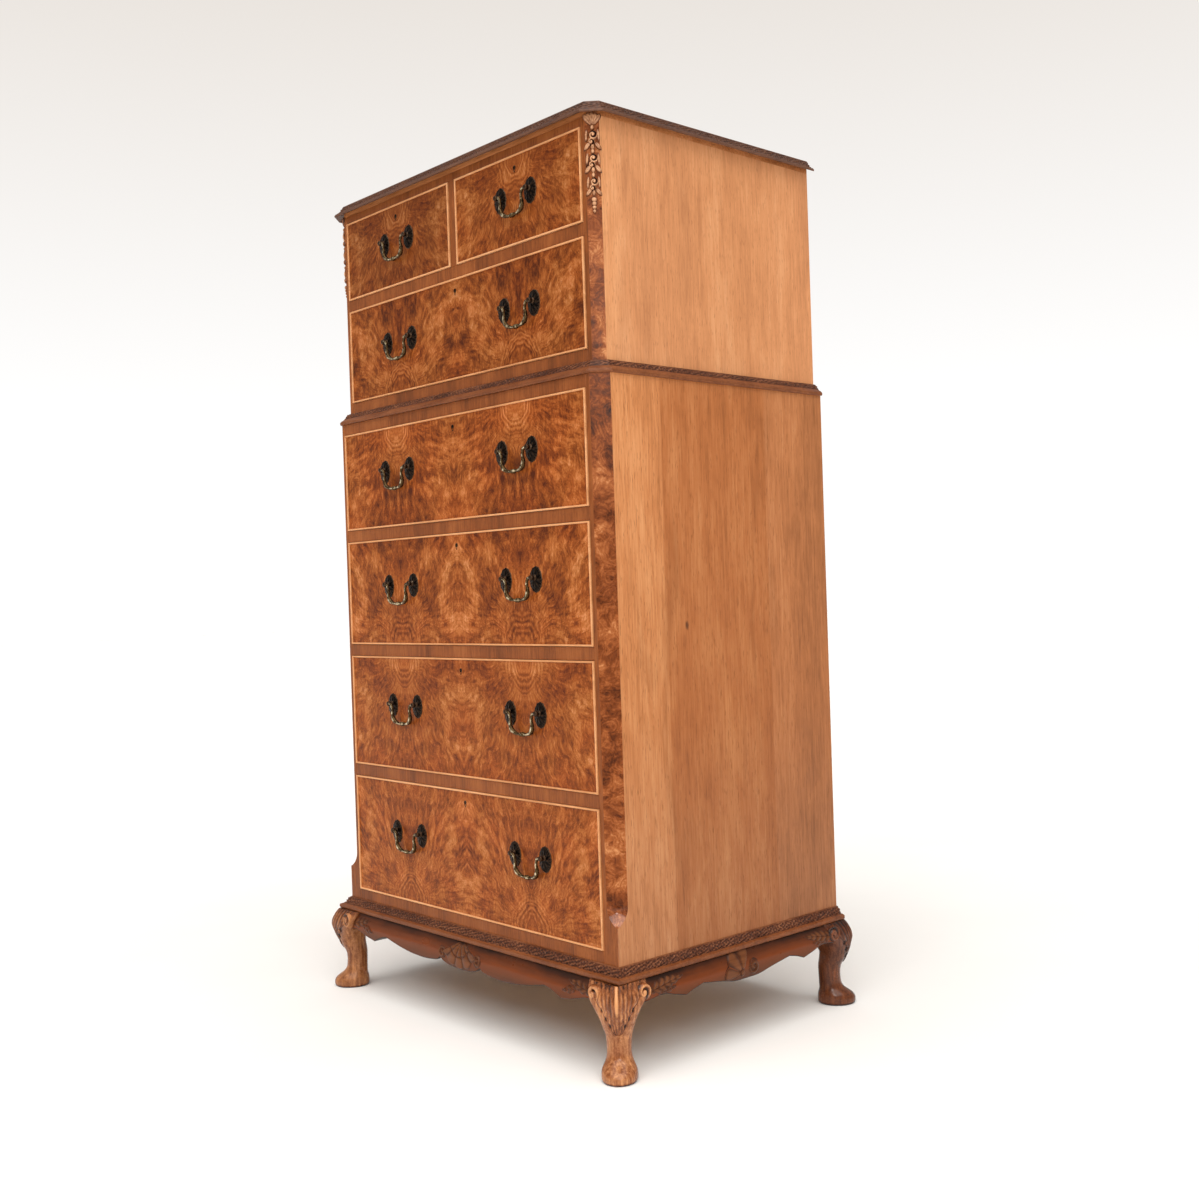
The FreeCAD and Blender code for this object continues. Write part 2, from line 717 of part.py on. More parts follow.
def fittings(name, x, z, face, holes):
    """The metal of a drawer: handle plates, bolts and nuts, the lock and the keyhole's lining."""
    middle = f"(({x[0]}) + ({x[1]})) / 2"
    pieces = []
    for order, (at, level) in enumerate(holes):
        pieces += fixing(f"{name}_{order}", at, level, face)
    tube = rod(name + "_lining_outer", "lining_round", "lining_deep", "y", middle, face, f"{z[1]} - key_down")
    bore = rod(name + "_lining_inner", "key_round", "3 * lining_deep", "y", middle,
               f"{face} - lining_deep", f"{z[1]} - key_down")
    pieces.append(cut(name + "_lining", tube, [bore]))
    pieces.append(block(name + "_lock", (f"{middle} - lock_half", f"{middle} + lock_half"),
                        (f"{face} + lock_wall", f"{face} + front_thick"),
                        (f"{z[1]} - bead - lock_high", f"{z[1]} - bead")))
    return group(name, pieces)


def rounded_route(corners, radius):
    """Lines through corners in the XZ plane, with a tangent arc at each inner corner."""
    spots = [FreeCAD.Vector(number(x), 0, number(z)) for x, z in corners]
    edges = []
    start = spots[0]
    for before, here, after in zip(spots, spots[1:], spots[2:]):
        back = (before - here).normalize()
        ahead = (after - here).normalize()
        reach = radius / FreeCAD.Vector(ahead - back).Length * FreeCAD.Vector(ahead + back).Length
        enter = here + back * reach
        leave = here + ahead * reach
        centre_way = (back + ahead).normalize()
        centre = here + centre_way * (radius ** 2 + reach ** 2) ** 0.5
        edges.append(Part.LineSegment(start, enter).toShape())
        edges.append(Part.Arc(enter, centre - centre_way * radius, leave).toShape())
        start = leave
    edges.append(Part.LineSegment(start, spots[-1]).toShape())
    return Part.Wire(edges)


def bail(name, at, level, face):
    """A swan-neck bail: pins in the two balls, waisted arms, and a level grip bar."""
    half = [
        ("bolt_half - bail_gap", "0"), ("shoulder_half", "0"), ("waist_half", "-waist_down"),
        ("hip_half", "-hip_down"), ("hip_corner", "-bail_down"),
    ]
    other = [(f"-({x})", z) for x, z in reversed(half)]
    wire = rounded_route(half + other, number("bail_bend"))
    pin_start = number("bolt_half - ball_round - bail_gap")
    pin_length = number("bolt_half + pin_root + pin_past") - pin_start
    room = 3 * number("bail_down")
    ring_centre = wire.Vertexes[0].Point
    ring = Part.Wire(Part.Circle(ring_centre, FreeCAD.Vector(1, 0, 0), number("bail_round")).toShape())
    bar = wire.makePipeShell([ring], True, False)
    keep_inside = Part.makeBox(2 * pin_start, room, room, FreeCAD.Vector(-pin_start, -room / 2, -room / 2))
    bar = bar.common(keep_inside)
    for side in (-1, 1):
        pin_from = FreeCAD.Vector(side * (pin_start - number("pin_root")), 0, 0)
        pin_way = FreeCAD.Vector(side, 0, 0)
        bar = bar.fuse(Part.makeCylinder(number("pin_round"), pin_length, pin_from, pin_way))
    solid = doc.addObject("Part::Feature", name)
    solid.Shape = bar.removeSplitter().Solids[0]
    put(solid, at, f"{face} - pin_out", level)
    return keep(solid, name)


def drawer(name, x, row, case, handles):
    """One drawer with its handles."""
    face = case + "_face"
    z = (row + "_low", row + "_high")
    level = f"{row}_plate + pin_up"
    holes = [(f"{at} + {side} * bolt_half", level) for at in handles.values() for side in (-1, 1)]
    drawer_front(name + "_front", x, z, face, holes)
    cock_bead(name + "_cockbead", x, z, face)
    drawer_box(name + "_box", x, z, face)
    fittings(name + "_fittings", x, z, face, holes)
    for label, at in handles.items():
        bail(label, at, level, face)


def build():
    """Every sub-part, from the floor up."""
    front_legs = [leg("leg_front_left", -1, -1), leg("leg_front_right", 1, -1)]
    rear_legs = [leg("leg_rear_left", -1, 1), leg("leg_rear_right", 1, 1)]
    front_half = "lower_half + apron_top_out - block"
    side_half = "-lower_face + apron_top_out - block"
    apron("apron_front", "YZ_Plane", "XZ_Plane", "-lower_face", -1, front_half, FRONT_EDGE, front_legs)
    apron("apron_left", "XZ_Plane", "YZ_Plane", "lower_half", -1, side_half, SIDE_EDGE,
          [front_legs[0], rear_legs[0]])
    apron("apron_right", "XZ_Plane", "YZ_Plane", "lower_half", 1, side_half, SIDE_EDGE,
          [front_legs[1], rear_legs[1]])
    base_frame(rear_legs)
    moulding("base_moulding", BASE_SECTION, "lower_half", "lower_face", "0", "stand_top")
    for case, rows in (("lower", ("sixth", "fifth", "fourth", "third")), ("upper", ("second", "top"))):
        side_panels(case)
        front_frame(case, rows)
        carcase(case, rows)
    moulding("waist_moulding", WAIST_SECTION, "upper_half", "upper_face", "upper_cant", "lower_top")
    back_panels()
    top_board()
    moulding("cornice_moulding", CORNICE_SECTION, "upper_half", "upper_face", "upper_cant", "upper_top")
    corner_pendants()
    for row, case, split in ROWS:
        edge = case + "_row_half"
        if split:
            halves = {"left": (f"-{edge}", "-partition_half"), "right": ("partition_half", edge)}
            for hand, sign in (("left", "-"), ("right", "")):
                handles = {"bail_top_" + hand: sign + "handle_at"}
                drawer("drawer_top_" + hand, halves[hand], row, case, handles)
        else:
            handles = {f"bail_{row}_left": "-handle_at", f"bail_{row}_right": "handle_at"}
            drawer("drawer_" + row, (f"-{edge}", edge), row, case, handles)


def check_and_write():
    """Stops on any failed object or bad shape, then writes one STEP file for each sub-part."""
    doc.recompute()
    for thing in doc.Objects:
        if "Invalid" in thing.State or "Error" in thing.State:
            raise RuntimeError(f"{thing.Label} failed: {thing.State}")
    for node in nodes:
        if node.Shape.isNull() or not node.Shape.isValid():
            raise RuntimeError(node.Label + " has no valid shape")
    os.makedirs("parts", exist_ok=True)
    for node in nodes:
        node.Shape.exportStep(f"parts/{node.Label}.step")
        print(f"{node.Label}: {len(node.Shape.Solids)} solids, {node.Shape.Volume / 1000:.1f} cm3")


build()
check_and_write()
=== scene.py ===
import json
import math

import bmesh
import bpy
import numpy as np
from mathutils import Matrix, Vector

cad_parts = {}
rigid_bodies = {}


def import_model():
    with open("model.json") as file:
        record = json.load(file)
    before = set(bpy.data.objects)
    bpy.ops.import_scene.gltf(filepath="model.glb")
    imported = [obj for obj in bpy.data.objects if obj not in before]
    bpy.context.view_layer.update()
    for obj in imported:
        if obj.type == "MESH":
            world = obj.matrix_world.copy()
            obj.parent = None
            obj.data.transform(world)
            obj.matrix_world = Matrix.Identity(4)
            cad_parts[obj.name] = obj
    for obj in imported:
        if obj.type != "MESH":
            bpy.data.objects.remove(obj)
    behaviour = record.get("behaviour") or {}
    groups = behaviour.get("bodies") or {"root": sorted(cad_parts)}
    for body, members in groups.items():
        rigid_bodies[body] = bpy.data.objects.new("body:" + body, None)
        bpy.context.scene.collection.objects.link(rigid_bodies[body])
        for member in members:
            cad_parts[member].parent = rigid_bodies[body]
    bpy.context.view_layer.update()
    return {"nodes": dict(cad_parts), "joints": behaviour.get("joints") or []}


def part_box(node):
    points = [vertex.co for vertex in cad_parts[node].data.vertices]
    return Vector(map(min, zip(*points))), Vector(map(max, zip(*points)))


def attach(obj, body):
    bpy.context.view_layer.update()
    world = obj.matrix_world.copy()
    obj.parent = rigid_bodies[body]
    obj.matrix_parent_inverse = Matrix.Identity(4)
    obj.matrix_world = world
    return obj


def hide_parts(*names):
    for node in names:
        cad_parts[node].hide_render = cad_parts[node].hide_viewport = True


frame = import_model()

# The look of a tall walnut chest of drawers. Shapes are worked out in millimetres in the frame's
# own axes: +Z up, the drawers face -Y, and +X is to the right of a person who looks at them.
MM = 0.001
TAU = 2 * math.pi

# Lower edge of each half apron, from the middle outwards: distance and height. Each inner
# list is one smooth stretch between two points or cusps.
FRONT_EDGE = (
    ((0, 101), (25, 102.5), (43, 106), (57.7, 113.5)),
    ((57.7, 113.5), (70, 107), (108, 103), (152, 105), (191, 111), (228, 118.5)),
    ((228, 118.5), (246, 114.5), (270, 104.8)),
    ((270, 104.8), (297, 110), (327, 117.5), (350, 117)),
)
SIDE_EDGE = (
    ((0, 101.5), (30, 102.5), (60, 108.7), (106, 116)),
    ((106, 116), (128, 111), (144, 105.3)),
    ((144, 105.3), (168, 111.5), (195, 118), (228, 115)),
)
# Swell of an apron: height, and how far out its face stands from the case.
APRON_FACE = ((94, 21), (109, 24), (125, 24), (138, 20.5), (148, 13))
# Carved leaves of the aprons: root, tip, width, number of lobes, and height.
FRONT_LEAVES = (((344, 128), (286, 139), 8.5, 4, 1.7), ((306, 128), (271, 120), 6, 3, 1.2))
SIDE_LEAVES = (((226, 128), (148, 139), 9.5, 6, 2), ((208, 122), (164, 126), 6, 4, 1.4))

# Moulding sections: how far out from the case, and height from the underside.
BASE_SECTION = (
    (15.5, 0), (17.4, 1.6), (18, 4), (17.6, 7.6), (13, 9.2), (9.4, 10.5), (7.6, 15), (4, 20.5), (1, 22),
)
WAIST_SECTION = (
    (19, 0), (19.6, 2.4), (19.4, 4.8), (17, 7.4), (14.6, 9), (11.4, 11.4), (6.4, 19.4), (2, 22),
)
CORNICE_SECTION = (
    (0.3, 8.4), (3.4, 7.9), (10, 5.2), (14.6, 1.6), (16, 0.8), (17.3, 2), (16.4, 4.4), (14, 6.4), (8.3, 10.2),
    (3.6, 17.5), (1, 22),
)

# Cabriole leg: height, how far out along the corner diagonal the section's middle is, half its
# length along that diagonal, half its width across it, and how square it is (2 is round).
LEG_RINGS = (
    (0, 2, 30.4, 25.8, 2), (1.2, 2.3, 32, 27, 2), (4, 2.5, 32.9, 27.9, 2), (9, 2.5, 33.2, 28.3, 2),
    (13, 1.9, 32.4, 28, 2), (17, 0.6, 30.6, 27.2, 2), (20, -1, 28.4, 25.9, 2), (24, -3.4, 25, 23.8, 2),
    (28, -5.6, 22.2, 21.8, 2), (34, -7.8, 20.2, 20, 2), (42, -8.9, 19.3, 19.1, 2),
    (57, -9.3, 19.4, 19.5, 2), (68, -8, 20.5, 20.9, 2), (79, -4, 23, 24, 2.1),
    (90, -0.5, 25.6, 27.1, 2.4), (96, 0, 28.4, 29.4, 2.8), (101, 0.4, 30.8, 31.8, 3.4),
    (106, 0, 33.4, 34.4, 4.4), (112, -1.4, 37.2, 37.8, 6), (118, -3.6, 41, 41.3, 8),
    (124, -7, 44, 44, 10), (131, -10.3, 45, 45, 11), (138, -14, 44.6, 44.8, 11),
    (143, -17.2, 44, 44, 11), (148, -20.5, 42.6, 42.6, 11),
)
LEG_REACH = 33  # how far a foot reaches past its centre, along X or Y

# Knee leaf: height and how far it spreads from the arris; the notches are where its lobes meet.
KNEE_LEAF = ((70, 0), (74, 4.6), (80, 7.4), (85, 8.6), (88, 9), (91, 13.5), (96, 16.6), (99, 17), (102, 22),
             (108, 27), (111, 28), (114, 33), (120, 40), (126, 44), (148, 46))
KNEE_HOLLOWS = ((10.6, 87.5), (19.4, 99), (30.5, 111))

# Middle of a knee's volute: how far out from the foot's centre, and its height.
VOLUTE_OUT = 24.3
VOLUTE_LEVEL = 131.5

# Sizes that repeat the CAD model's: thickness of a side, depth of stiles and rails, and the gap
# round a cock bead; half the distance between two bolts, how far the pin lies above the plate's
# middle, where the nut starts behind the face, and the nut's profile.
SIDE_BOARD = 18
STILE_DEEP = 50
RAIL_DEEP = 60
GAP = 0.6
BOLT_HALF = 39
PIN_UP = 3
NUT_IN = 27
NUT = ((0, 2.6), (2.8, 2.8), (3, 7.2), (3.6, 8), (6.4, 8), (7, 7.2))

HANDLE_X = 0.174  # from the middle of the chest to the middle of a handle, in metres


# ---- mesh helpers


class Shape:
    """Points and faces of one piece, in millimetres, added grid by grid."""

    def __init__(self):
        self.points = []
        self.relief = []
        self.faces = []
        self.finish = []
        self.count = 0

    def grid(self, points, relief=0, finish=0):
        """Adds rows of points. Each row closes on itself, and one face closes each end."""
        rows, columns = points.shape[:2]
        index = np.arange(rows * columns).reshape(rows, columns) + self.count
        ends = [index[0].tolist(), index[-1].tolist()]
        index = np.hstack([index, index[:, :1]])
        corners = (index[:-1, :-1], index[1:, :-1], index[1:, 1:], index[:-1, 1:])
        finishes = np.broadcast_to(finish, columns).tolist()
        self.faces += np.stack(corners, axis=-1).reshape(-1, 4).tolist() + ends
        self.finish += finishes * (rows - 1) + finishes[:1] * 2
        self.points.append(points.reshape(-1, 3))
        self.relief.append(np.broadcast_to(relief, (rows, columns)).reshape(-1))
        self.count += rows * columns


def show(name, shape, body, materials, nodes, sharp):
    """Makes a piece of a shape, lets it ride on its body, and hides the CAD nodes that it stands for."""
    data = bpy.data.meshes.new(name)
    data.from_pydata((np.concatenate(shape.points) * MM).tolist(), [], shape.faces)
    data.attributes.new("relief", "FLOAT", "POINT").data.foreach_set(
        "value", np.concatenate(shape.relief).astype(np.float32)
    )
    data.polygons.foreach_set("material_index", shape.finish)
    tidy = bmesh.new()
    tidy.from_mesh(data)
    bmesh.ops.recalc_face_normals(tidy, faces=tidy.faces)
    tidy.to_mesh(data)
    tidy.free()
    data.polygons.foreach_set("use_smooth", [True] * len(data.polygons))
    data.set_sharp_from_angle(angle=math.radians(sharp))
    piece = bpy.data.objects.new(name, data)
    bpy.context.scene.collection.objects.link(piece)
    for material in materials:
        data.materials.append(material)
    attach(piece, body)
    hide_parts(*nodes)


def corner(node):
    """The lowest and highest corner of a CAD node, in millimetres."""
    low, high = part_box(node)
    return np.array(low) / MM, np.array(high) / MM


def smooth(value, low, high):
    """0 below low, 1 above high, and a smooth rise between them."""
    share = np.clip((value - low) / (high - low), 0, 1)
    return share * share * (3 - 2 * share)


def hump(value, width):
    """1 at zero, falling off smoothly to both sides over about the width."""
    return np.exp(-(value / width) ** 2)


def circle(count):
    """Angles evenly spaced round a whole turn."""
    return np.linspace(0, TAU, count, endpoint=False)


def joined(*parts):
    """Points made of their coordinates, which are spread to one shape first."""
    return np.stack(np.broadcast_arrays(*parts), axis=-1)


def travelled(points):
    """How far along a line each of its points is."""
    return np.concatenate([[0], np.cumsum(np.linalg.norm(np.diff(points, axis=0), axis=1))])


def spline(points, step):
    """A smooth line through points, with a point about every step."""
    points = np.array(points, float)
    padded = np.vstack([2 * points[0] - points[1], points, 2 * points[-1] - points[-2]])
    line = []
    for before, start, end, after in zip(padded, padded[1:], padded[2:], padded[3:]):
        count = max(1, round(np.linalg.norm(end - start) / step))
        for share in np.arange(count) / count:
            pull = (end - before) * share + (2 * before - 5 * start + 4 * end - after) * share ** 2
            line.append(start + 0.5 * (pull + (3 * start - before - 3 * end + after) * share ** 3))
    return np.array(line + [points[-1]])


def resample(points, step):
    """Points spaced about a step apart along straight runs, every corner kept."""
    points = np.array(points, float)
    line = []
    for start, end in zip(points, points[1:]):
        count = max(1, round(np.linalg.norm(end - start) / step))
        line += [start + (end - start) * share for share in np.arange(count) / count]
    return np.array(line + [points[-1]])


def bevel_box(shape, low, high, round_off=0.6):
    """A box whose edges are rounded off a little."""
    low, high = np.array(low, float), np.array(high, float)
    inset = min(round_off, 0.45 * min(high - low))
    rows = []
    for level, inner in ((low[2], inset), (low[2] + inset, 0), (high[2] - inset, 0), (high[2], inset)):
        x0, x1, y0, y1 = low[0] + inner, high[0] - inner, low[1] + inner, high[1] - inner
        ring = [(x0 + inset, y0), (x1 - inset, y0), (x1, y0 + inset), (x1, y1 - inset), (x1 - inset, y1),
                (x0 + inset, y1), (x0, y1 - inset), (x0, y0 + inset)]
        rows.append([(x, y, level) for x, y in ring])
    shape.grid(np.array(rows, float))


def facing(origin, along, away):
    """Function that places points given as (along, up, out) on a face through an origin."""
    axes = np.array([along, (0, 0, 1), away], float)
    return lambda local: np.array(origin, float) + local @ axes


def petal(shape, place, middle, length, width, height, angle=0, groove=0):
    """A low domed leaf or bead on a surface: a half ellipsoid, pointed if it is long, grooved if asked."""
    ring = np.linspace(0.02, 1, 9)[:, None]
    turn = circle(20)
    along = ring * np.cos(turn)
    across = ring * np.sin(turn) * (1 - 0.25 * (along > 0) * along ** 2)
    rise = height * np.sqrt(1 - ring ** 2) - groove * hump(across, 0.22) * (1 - ring ** 2)
    rise[-1] = -0.8
    u, v = along * length, across * width
    c, s = math.cos(angle), math.sin(angle)
    local = joined(middle[0] + u * c - v * s, middle[1] + u * s + v * c, rise)
    shape.grid(place(local), np.clip(rise / height * 1.6 - 0.8, -1, 1))


def scroll(shape, place, middle, radius, height, handed, turns=1.25):
    """A carved volute: a disc with a thick ridge that winds in to a round eye."""
    ring = np.linspace(0.03, 1, 26)[:, None]
    turn = circle(56)
    ridge = (0.5 + 0.5 * np.cos(TAU * ring * turns - handed * turn - 0.9)) ** 0.8
    ridge = np.maximum(ridge, smooth(-ring, -0.36, -0.2))
    rise = height * (0.25 + 0.75 * ridge) * (1 - smooth(ring, 0.9, 1))
    rise[-1] = -2.5
    reach = radius * ring
    local = joined(middle[0] + reach * np.cos(turn), middle[1] + reach * np.sin(turn), rise)
    shape.grid(place(local), ridge * 2.1 - 1.2)


def leaf(across, up, root, tip, width, lobes, height):
    """Height of an acanthus leaf that runs from root to tip on a flat field."""
    way = np.array(tip, float) - np.array(root, float)
    length = np.linalg.norm(way)
    way /= length
    share = ((across - root[0]) * way[0] + (up - root[1]) * way[1]) / length
    aside = np.abs((up - root[1]) * way[0] - (across - root[0]) * way[1])
    inside = np.clip(share, 0.001, 0.999)
    edge = width * np.sin(math.pi * inside ** 0.75) * (0.8 + 0.32 * np.abs(np.sin(math.pi * lobes * inside)))
    rise = np.clip(1 - (aside / np.maximum(edge, 0.3)) ** 2, 0, 1) ** 0.5
    veins = 0.3 * np.cos(TAU * (lobes * inside - 0.7 * aside / width)) - 0.55 * np.exp(-(aside / 0.7) ** 2)
    shown = (share > 0) & (share < 1)
    return np.where(shown, height * rise * (1 + veins), 0)


# ---- materials


def rgb(red, green, blue):
    """An sRGB colour from 0 to 255 as the linear values that Blender takes."""
    parts = [part / 255 for part in (red, green, blue)]
    return tuple(p / 12.92 if p <= 0.04045 else ((p + 0.055) / 1.055) ** 2.4 for p in parts) + (1,)


def shades(*stops):
    """Colour stops, each given as its place and an sRGB colour."""
    return tuple((place, rgb(*colour)) for place, *colour in stops)


def stretch(along, length, across):
    """Scales of a noise whose grain runs along one axis."""
    return tuple(length if axis == along else across for axis in "xyz")


class Nodes:
    """A node tree and short ways to add nodes to it."""

    def __init__(self, tree):
        self.tree = tree

    def add(self, kind, output, inputs, **settings):
        """Adds a node. An input that is a socket is linked, and any other is set."""
        node = self.tree.nodes.new("ShaderNode" + kind)
        for key, value in settings.items():
            setattr(node, key, value)
        for key, value in inputs.items():
            if isinstance(value, bpy.types.NodeSocket):
                self.tree.links.new(value, node.inputs[key])
            else:
                node.inputs[key].default_value = value
        return node.outputs[output]

    def split(self, vector):
        """The three numbers of a vector."""
        return [self.add("SeparateXYZ", axis, {0: vector}) for axis in "XYZ"]

    def maths(self, operation, first, second=0, third=0):
        return self.add("Math", 0, {0: first, 1: second, 2: third}, operation=operation)

    def apart(self, first, second):
        """How far apart two numbers are."""
        return self.maths("ABSOLUTE", self.maths("SUBTRACT", first, second))

    def reach(self, first, second):
        """The length of a vector of two numbers."""
        squares = self.maths("MULTIPLY_ADD", first, first, self.maths("MULTIPLY", second, second))
        return self.maths("SQRT", squares)

    def vectors(self, operation, first, second=(0, 0, 0), third=(0, 0, 0), output=0):
        inputs = {0: first, 1: second, 2: third}
        return self.add("VectorMath", output, inputs, operation=operation)

    def noise(self, vector, scale, detail, rough=0.5, twist=0, output="Fac"):
        """A noise, with one scale, or with three for a noise that is stretched."""
        if isinstance(scale, tuple):
            vector, scale = self.vectors("MULTIPLY", vector, scale), 1
        inputs = {"Vector": vector, "Scale": scale, "Detail": detail, "Roughness": rough, "Distortion": twist}
        return self.add("TexNoise", output, inputs)

    def tone(self, vector, scale, detail=3, rough=0.6, low=0.3, twist=0):
        """A noise whose values from low to 1 - low are spread over 0 to 1."""
        return self.spread(self.noise(vector, scale, detail, rough, twist), low, 1 - low)

    def warp(self, vector, scale, amount, detail=1):
        """The vector pushed about by a soft noise, by up to half the amount."""
        push = self.noise(vector, scale, detail, output="Color")
        centred = self.vectors("SUBTRACT", push, (0.5, 0.5, 0.5))
        return self.vectors("MULTIPLY_ADD", centred, (amount, amount, amount), vector)

    def spread(self, value, low, high, to_low=0, to_high=1):
        """Stretches a range of values to another range, clamped at its ends."""
        return self.add("MapRange", 0, {0: value, 1: low, 2: high, 3: to_low, 4: to_high})

    def ramp(self, value, stops):
        """The colour of a value between colour stops."""
        node = self.tree.nodes.new("ShaderNodeValToRGB")
        self.tree.links.new(value, node.inputs[0])
        band = node.color_ramp
        while len(band.elements) < len(stops):
            band.elements.new(0.5)
        for element, (place, colour) in zip(band.elements, stops):
            element.position = place
            element.color = (*colour[:3], 1)
        return node.outputs[0]

    def mix(self, factor, first, second, blend="MIX"):
        return self.add("Mix", 2, {0: factor, 6: first, 7: second}, data_type="RGBA", blend_type=blend)

    def tinted(self, colour, value, stops):
        """A colour multiplied by the tint that a value has between stops."""
        return self.mix(1.0, colour, self.ramp(value, stops), "MULTIPLY")

    def weigh(self, *pairs):
        """A sum of values, each times its weight."""
        total = 0
        for value, weight in pairs:
            total = self.maths("MULTIPLY_ADD", value, weight, total)
        return total


class Finish(Nodes):
    """A material whose nodes work in the object's own coordinates, in metres."""

    def __init__(self, name, roughness, specular, metallic=0):
        self.material = bpy.data.materials.new(name)
        self.material.use_nodes = True
        super().__init__(self.material.node_tree)
        self.shader = self.tree.nodes["Principled BSDF"]
        self.shader.inputs["Roughness"].default_value = roughness
        self.shader.inputs["Specular IOR Level"].default_value = specular
        self.shader.inputs["Metallic"].default_value = metallic
        self.place = self.add("TexCoord", "Object", {})

    def link(self, name, socket):
        self.tree.links.new(socket, self.shader.inputs[name])

    def relief(self):
        """The mesh's relief value at each point, mostly the carving's height; colours follow it to paint
        shade in hollows and highlights on ridges.
        """
        return self.add("Attribute", "Fac", {}, attribute_name="relief")

    def done(self, colour, sheen, gloss, height, strength, distance=0.0002):
        """Links the colour, a roughness that follows the sheen between two values, and a fine bump."""
        self.link("Base Color", colour)
        self.link("Roughness", self.spread(sheen, 0, 1, *gloss))
        inputs = {"Height": height, "Strength": strength, "Distance": distance}
        self.link("Normal", self.add("Bump", 0, inputs))
        return self.material


def burr_veneer(name, low, high, face, leaf_number, flip, stops):
    """Four-leaf matched burr, folded about the middle and both handles: ripples round a point at the
    edge above each handle, feathery strokes that fan out from it, clouds, specks and short cracks."""
    wood = Finish(name, roughness=0.36, specular=0.12)
    x, y, z = wood.split(wood.place)
    fold = wood.apart(wood.maths("ABSOLUTE", x), HANDLE_X)
    from_seam = wood.maths("SUBTRACT", HANDLE_X, fold)
    up = wood.maths("MULTIPLY", wood.maths("SUBTRACT", z, (low + high) / 2), flip)
    flat = wood.add("CombineXYZ", 0, {0: fold, 1: 0.31 * leaf_number, 2: up})
    curled = wood.warp(wood.warp(flat, 12, 0.045, 2), 48, 0.011, 2)
    aside, level = wood.split(curled)[::2]
    drop = wood.maths("SUBTRACT", (high - low) / 2 - 0.006, level)
    reach = wood.reach(aside, drop)
    angle = wood.maths("ARCTAN2", aside, drop)
    fan = wood.add("CombineXYZ", 0, {0: angle, 1: 2.3 * leaf_number, 2: reach})
    rays = wood.tone(fan, (21, 1, 38), 3, 0.62)
    feather = wood.tone(curled, (190, 1, 62), 3, 0.65)
    cloud = wood.tone(curled, 26, 4, 0.62, 0.32)
    large = wood.tone(flat, 9, 1, 0.5, 0.36)
    fine = wood.tone(curled, (700, 1, 300), 2, 0.5)
    waves = wood.maths("SINE", wood.weigh((reach, 760), (cloud, 2)))
    far = wood.spread(reach, 0.036, 0.066, 1, 0)
    near = wood.maths("MULTIPLY", far, wood.spread(reach, 0.01, 0.02))
    ripple = wood.maths("MULTIPLY", waves, near)
    oval = wood.reach(wood.maths("MULTIPLY", from_seam, 21), wood.maths("MULTIPLY", level, 18))
    rim = wood.spread(wood.apart(oval, 1), 0, 0.34, 1, 0)
    glow = wood.spread(reach, 0.022, 0.075, 1, 0)
    rays = wood.maths("MULTIPLY_ADD", wood.maths("SUBTRACT", 0.6, rays), glow, rays)
    tone = wood.weigh((cloud, 0.24), (large, 0.12), (rays, 0.27), (feather, 0.2), (fine, 0.16),
                        (ripple, 0.085), (rim, 0.1), (glow, 0.06))
    hue = wood.tone(flat, 14, 2, 0.5, 0.35)
    colour = wood.tinted(wood.ramp(tone, stops), hue, BURR_TINTS)
    crack = wood.spread(wood.noise(flat, (70, 1, 900), 1), 0.7, 0.76, 0, 0.5)
    speck = wood.spread(wood.noise(curled, (330, 1, 240), 1), 0.68, 0.75, 0, 0.45)
    colour = wood.mix(wood.maths("MAXIMUM", crack, speck), colour, stops[0][1])
    timber = wood.ramp(wood.noise(wood.place, (6, 90, 240), 3), TIMBER_STOPS)
    colour = wood.mix(wood.spread(y, face + 0.001, face + 0.0014), colour, timber)
    return wood.done(colour, cloud, (0.3, 0.44), fine, 0.1)


def whorled(name, stops):
    """Burr with small dark-eyed whorls, for the canted corners, polished bright at the lamb's tongue."""
    wood = Finish(name, roughness=0.26, specular=0.12)
    curled = wood.warp(wood.warp(wood.place, 20, 0.03), 90, 0.009, 2)
    eye = wood.add("TexVoronoi", "Distance", {"Vector": curled, "Scale": 36})
    rings = wood.spread(wood.maths("SINE", wood.maths("MULTIPLY", eye, 34)), -1, 1)
    cloud = wood.tone(curled, 46, 4, 0.62, 0.32)
    large = wood.tone(wood.place, 17, 2, 0.5, 0.34)
    fine = wood.tone(curled, 420, 2, 0.5)
    open_eye = wood.spread(eye, 0.04, 0.3)
    tone = wood.weigh((cloud, 0.32), (large, 0.26), (rings, 0.09), (fine, 0.12), (open_eye, 0.2))
    wood.shader.inputs["Coat Roughness"].default_value = 0.1
    wood.link("Coat Weight", wood.spread(wood.split(wood.place)[2], 0.24, 0.262, 1, 0))
    return wood.done(wood.ramp(tone, stops), cloud, (0.2, 0.34), fine, 0.12)


